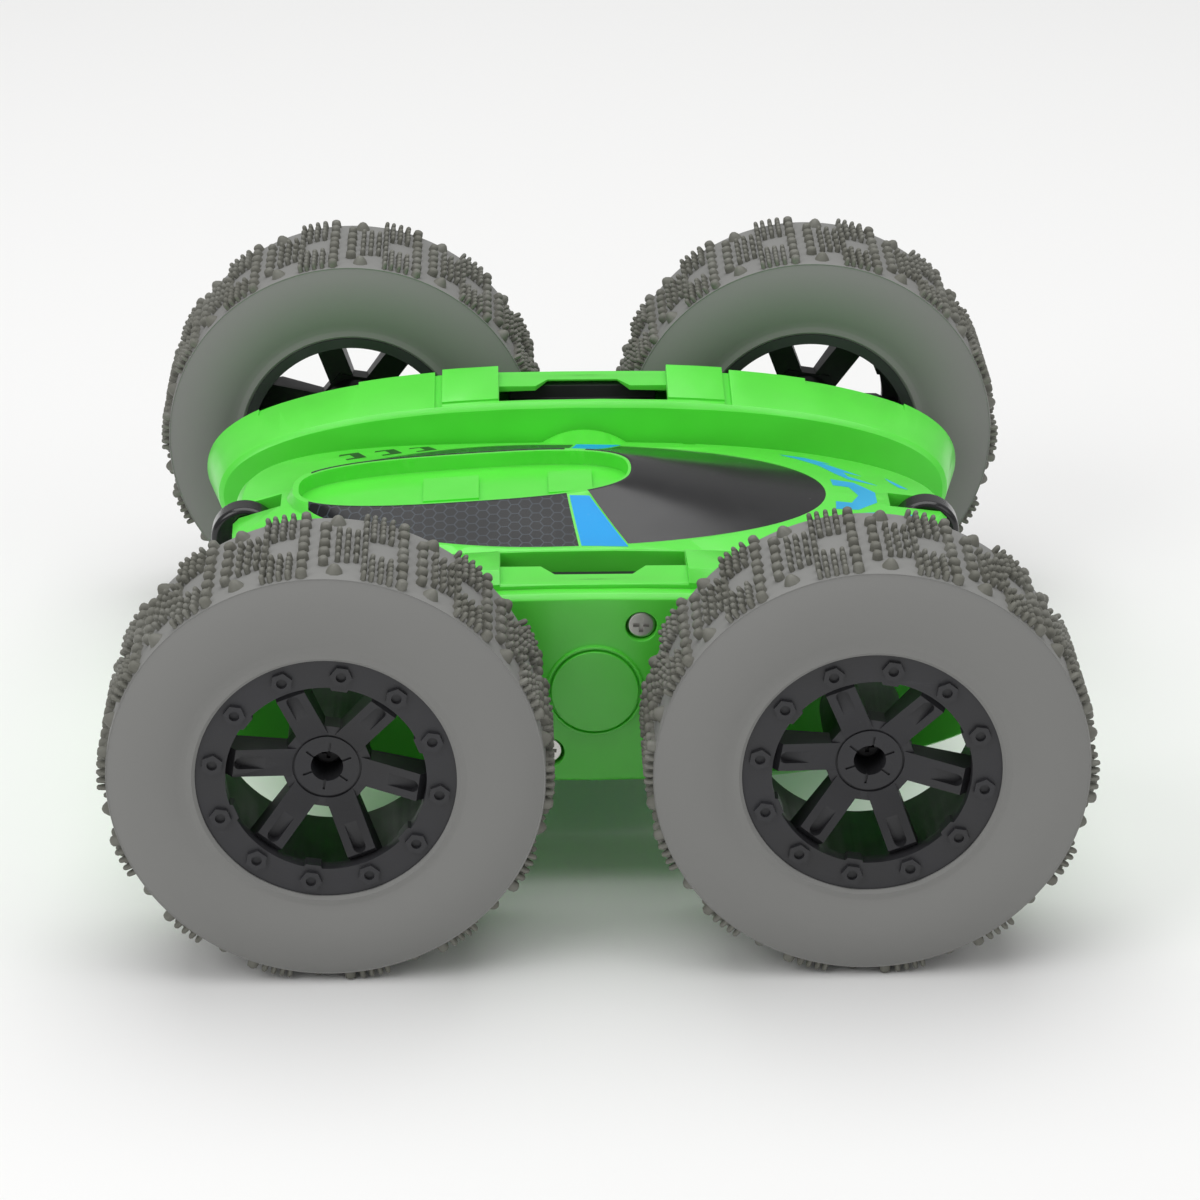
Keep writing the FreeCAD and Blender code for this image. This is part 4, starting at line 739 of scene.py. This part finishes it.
# ---- printed marks ------------------------------------------------------------------------------
@dataclass
class Film:
    """A thin printed film laid on the body's shell, cut to a plan outline in millimetres."""

    name: str
    outline: Sequence[Point]
    finish: Finish
    slot: str
    thick: float = 0.10 * MM
    proud: float = 0.04 * MM
    step: float = 0.8 * MM

    def sheet(self) -> bmesh.types.BMesh:
        """Cut the flat outline into small faces so that it can follow a curve."""
        build = bmesh.new()
        build.faces.new([build.verts.new((x * MM, y * MM, 0.0)) for x, y in self.outline])
        for axis in (0, 1):
            places = [vertex.co[axis] for vertex in build.verts]
            place = min(places) + self.step
            normal = Vector((1, 0, 0)) if axis == 0 else Vector((0, 1, 0))
            while place < max(places):
                geometry = build.verts[:] + build.edges[:] + build.faces[:]
                bmesh.ops.bisect_plane(build, geom=geometry, plane_co=normal * place, plane_no=normal,
                                       dist=0.01 * MM)
                place += self.step
        bmesh.ops.triangulate(build, faces=build.faces[:])
        return build

    def shell_height(self, half: Half, surface: BVHTree, place: Vector) -> float:
        """Find the shell's height over or under a place in plan.

        Args:
            half: upper or lower face.
            surface: the shell's surface.
            place: the place, of which x and y are used.

        Returns:
            The height, in metres.
        """
        for nudge in (0.0, 0.03 * MM, -0.03 * MM, 0.1 * MM, -0.1 * MM):
            start = Vector((place.x + nudge, place.y + nudge * 0.7, AXLE_Z + half.value * AXLE_Z))
            found, _, _, _ = surface.ray_cast(start, Vector((0, 0, -half.value)))
            if found is not None:
                return found.z
        raise ValueError(f"{self.name} lies off the shell at {tuple(place)}")

    def build(self, half: Half, surface: BVHTree) -> bpy.types.Object:
        """Lay the film on one face of the body.

        Args:
            half: upper or lower face.
            surface: the shell to lay it on.

        Returns:
            The film.
        """
        build = self.sheet()
        top = {}
        for vertex in build.verts:
            top[vertex] = self.shell_height(half, surface, vertex.co)
        for vertex, height in top.items():
            vertex.co.z = height + half.value * self.proud
        lower = bmesh.ops.duplicate(build, geom=build.verts[:] + build.edges[:] + build.faces[:])
        twins = lower["vert_map"]
        border = [edge for edge in build.edges if edge.is_boundary and edge.verts[0] in top]
        for vertex in top:
            twins[vertex].co.z -= half.value * self.thick
        for edge in border:
            first, second = edge.verts
            build.faces.new((first, second, twins[second], twins[first]))
        mesh = mesh_from(self.name, build)
        mesh.materials.append(self.finish.build())
        piece = link_mesh(f"{half.name.lower()}_{self.name}", mesh)
        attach(piece, "car_body")
        return piece


def mirrored(outline: Sequence[Point]) -> list[Point]:
    """Outline of the same mark on the other side of the car."""
    return [(x, -y) for x, y in reversed(outline)]


@dataclass
class BodyMarks:
    """The stripes, ticks and flames printed on both faces of the body."""

    tick: tuple[Point, ...] = ((-4.9, 2.1), (-4.8, 3.3), (-1.6, 4.2), (0.0, -0.5), (-3.3, -1.4), (-3.6, -0.8),
                               (-2.0, -0.1), (-3.1, 3.0))
    tick_places: tuple[Point, ...] = ((-38.0, 20.0), (-31.8, 21.0), (-25.8, 21.9))
    pillar: tuple[Point, ...] = ((-3.25, 10.6), (0.05, 10.6), (2.6, 15.4), (6.2, 22.6), (-1.5, 22.6))
    front_flame: tuple[Point, ...] = ((34.0, 21.0), (38.2, 19.6), (42.4, 16.4), (40.8, 16.7), (43.6, 13.7),
                                      (47.3, 10.2), (44.3, 11.6), (44.9, 9.3), (49.7, 5.9), (44.8, 7.6),
                                      (42.6, 10.4), (40.2, 14.6), (37.4, 17.6))
    tip_flame: tuple[Point, ...] = ((51.4, 10.4), (55.0, 5.6), (53.4, 6.1), (52.1, 8.4))
    fork: tuple[Point, ...] = ((41.7, 6.6), (45.6, 6.0), (49.0, 2.2), (49.0, -2.2), (45.6, -6.0),
                               (41.7, -6.6), (41.9, -3.6), (44.6, -3.5), (46.0, 0.0), (44.6, 3.5),
                               (41.9, 3.6))

    def films(self) -> list[Film]:
        """List every film of one face of the body.

        Returns:
            The films.
        """
        films = []
        for side in Side:
            fit = (lambda points: list(points)) if side is Side.LEFT else mirrored
            end = side.name.lower()
            films.append(Film(f"{end}_pillar_stripe", fit(self.pillar), BLUE, "battery_wrap"))
            films.append(Film(f"{end}_front_flame", fit(self.front_flame), BLUE_PRINT, "battery_wrap"))
            films.append(Film(f"{end}_tip_flame", fit(self.tip_flame), BLUE_PRINT, "battery_wrap"))
            for number, (x, y) in enumerate(self.tick_places, 1):
                outline = [(x + dx, y + dy) for dx, dy in self.tick]
                films.append(Film(f"{end}_deck_tick_{number}", fit(outline), DARK_PRINT, "window_black"))
        films.append(Film("front_fork", self.fork, BLUE_PRINT, "battery_wrap"))
        return films

    def build(self) -> int:
        """Lay every film on both faces of the body.

        Returns:
            The number of films.
        """
        count = 0
        for half in Half:
            shell = frame["nodes"][f"{half.name.lower()}_shell"]
            corners = [shell.matrix_world @ vertex.co for vertex in shell.data.vertices]
            surface = BVHTree.FromPolygons(corners, [face.vertices[:] for face in shell.data.polygons])
            for film in self.films():
                film.build(half, surface)
                count += 1
        return count


# ---- carried-over CAD pieces --------------------------------------------------------------------
@dataclass(frozen=True)
class EdgeBreak:
    """A small rounded edge on moulded and turned pieces."""

    width: float
    segments: int = 2
    degrees: float = 28.0

    def apply(self, piece: bpy.types.Object) -> None:
        """Round the piece's sharp edges with live modifiers."""
        weld = piece.modifiers.new("weld", "WELD")
        weld.merge_threshold = 0.5 * MM * MM
        flat = piece.modifiers.new("flat", "DECIMATE")
        flat.decimate_type = "DISSOLVE"
        flat.angle_limit = math.radians(1.0)
        bevel = piece.modifiers.new("edge", "BEVEL")
        bevel.width = self.width
        bevel.segments = self.segments
        bevel.limit_method = "ANGLE"
        bevel.angle_limit = math.radians(self.degrees)
        bevel.harden_normals = True
        bevel.use_clamp_overlap = True


EDGE_BREAKS = {"arm_housing": EdgeBreak(0.35 * MM, 3), "arm_cover": EdgeBreak(0.3 * MM, 3),
               "_rim": EdgeBreak(0.22 * MM), "_shell": EdgeBreak(0.22 * MM),
               "gearbox_frame": EdgeBreak(0.15 * MM)}


def dress_cad_nodes() -> int:
    """Give every CAD node the finish of its material slot, and break the moulded pieces' edges.

    Returns:
        The number of nodes dressed.
    """
    slots = {item["node"]: item["material_slot"] for item in frame["record"]["subparts"]}
    for name, piece in frame["nodes"].items():
        material = SLOT_FINISHES[slots[name]].build()
        piece.data.materials.clear()
        piece.data.materials.append(material)
        for stem, edge in EDGE_BREAKS.items():
            if name.endswith(stem):
                edge.apply(piece)
    return len(frame["nodes"])


# ---- stage --------------------------------------------------------------------------------------
@dataclass
class Studio:
    """Pale floor, soft lights and the camera."""

    camera_place: Vector = field(default_factory=lambda: Vector((-14.16, -657.72, 317.99)) * MM)
    camera_target: Vector = field(default_factory=lambda: Vector((2.087, 0.0, 28.436)) * MM)
    lens: float = 125.78
    floor_size: float = 8.0

    def floor(self) -> None:
        """Lay the plain pale floor."""
        build = bmesh.new()
        bmesh.ops.create_grid(build, x_segments=1, y_segments=1, size=self.floor_size / 2)
        mesh = bpy.data.meshes.new("floor")
        build.to_mesh(mesh)
        build.free()
        material = bpy.data.materials.new("floor_paper")
        material.use_nodes = True
        surface = material.node_tree.nodes["Principled BSDF"]
        surface.inputs["Base Color"].default_value = (0.86, 0.86, 0.855, 1.0)
        surface.inputs["Roughness"].default_value = 0.9
        surface.inputs["Specular IOR Level"].default_value = 0.1
        mesh.materials.append(material)
        link_mesh("floor", mesh)

    def light(self, name: str, place: Point | tuple[float, float, float], size: float,
              power: float) -> None:
        """Hang one square soft light that faces the car."""
        lamp = bpy.data.lights.new(name, "AREA")
        lamp.size = size
        lamp.energy = power
        holder = bpy.data.objects.new(name, lamp)
        holder.location = place
        holder.rotation_euler = (-Vector(place)).to_track_quat("-Z", "Y").to_euler()
        bpy.context.scene.collection.objects.link(holder)

    def camera(self) -> None:
        """Set the camera at the viewing angle."""
        data = bpy.data.cameras.new("camera")
        data.lens = self.lens
        data.sensor_width = 36.0
        data.clip_start = 0.01
        holder = bpy.data.objects.new("camera", data)
        holder.location = self.camera_place
        look = (self.camera_target - self.camera_place).to_track_quat("-Z", "Y")
        holder.rotation_euler = look.to_euler()
        bpy.context.scene.collection.objects.link(holder)
        bpy.context.scene.camera = holder

    def build(self) -> None:
        """Set up the floor, the world, the lights and the camera."""
        self.floor()
        world = bpy.data.worlds.new("studio")
        world.use_nodes = True
        world.node_tree.nodes["Background"].inputs["Color"].default_value = (1.0, 1.0, 1.0, 1.0)
        world.node_tree.nodes["Background"].inputs["Strength"].default_value = 0.40
        bpy.context.scene.world = world
        self.light("overhead", (0.0, 0.15, 1.1), 1.2, 9.6)
        self.light("left_front", (-0.7, -0.6, 0.7), 0.6, 3.2)
        self.light("right_front", (0.8, -0.5, 0.6), 0.6, 1.2)
        bpy.context.scene.view_settings.view_transform = "Standard"
        self.camera()


def main() -> None:
    """Build the stage, dress the CAD pieces, and add the tyres and printed marks."""
    logging.basicConfig(level=logging.INFO)
    Studio().build()
    LOG.info("dressed %d CAD nodes", dress_cad_nodes())
    tyre = Tyre()
    studs = tyre.tread.ring()
    for side in Side:
        for end in ("front", "rear"):
            stem = f"{side.name.lower()}_{end}"
            piece = tyre.build(f"{stem}_tyre", f"{stem}_wheel", studs)
            LOG.info("%s: %d faces", piece.name, len(piece.data.polygons))
    LOG.info("laid %d printed films", BodyMarks().build())


if __name__ == "__main__":
    main()
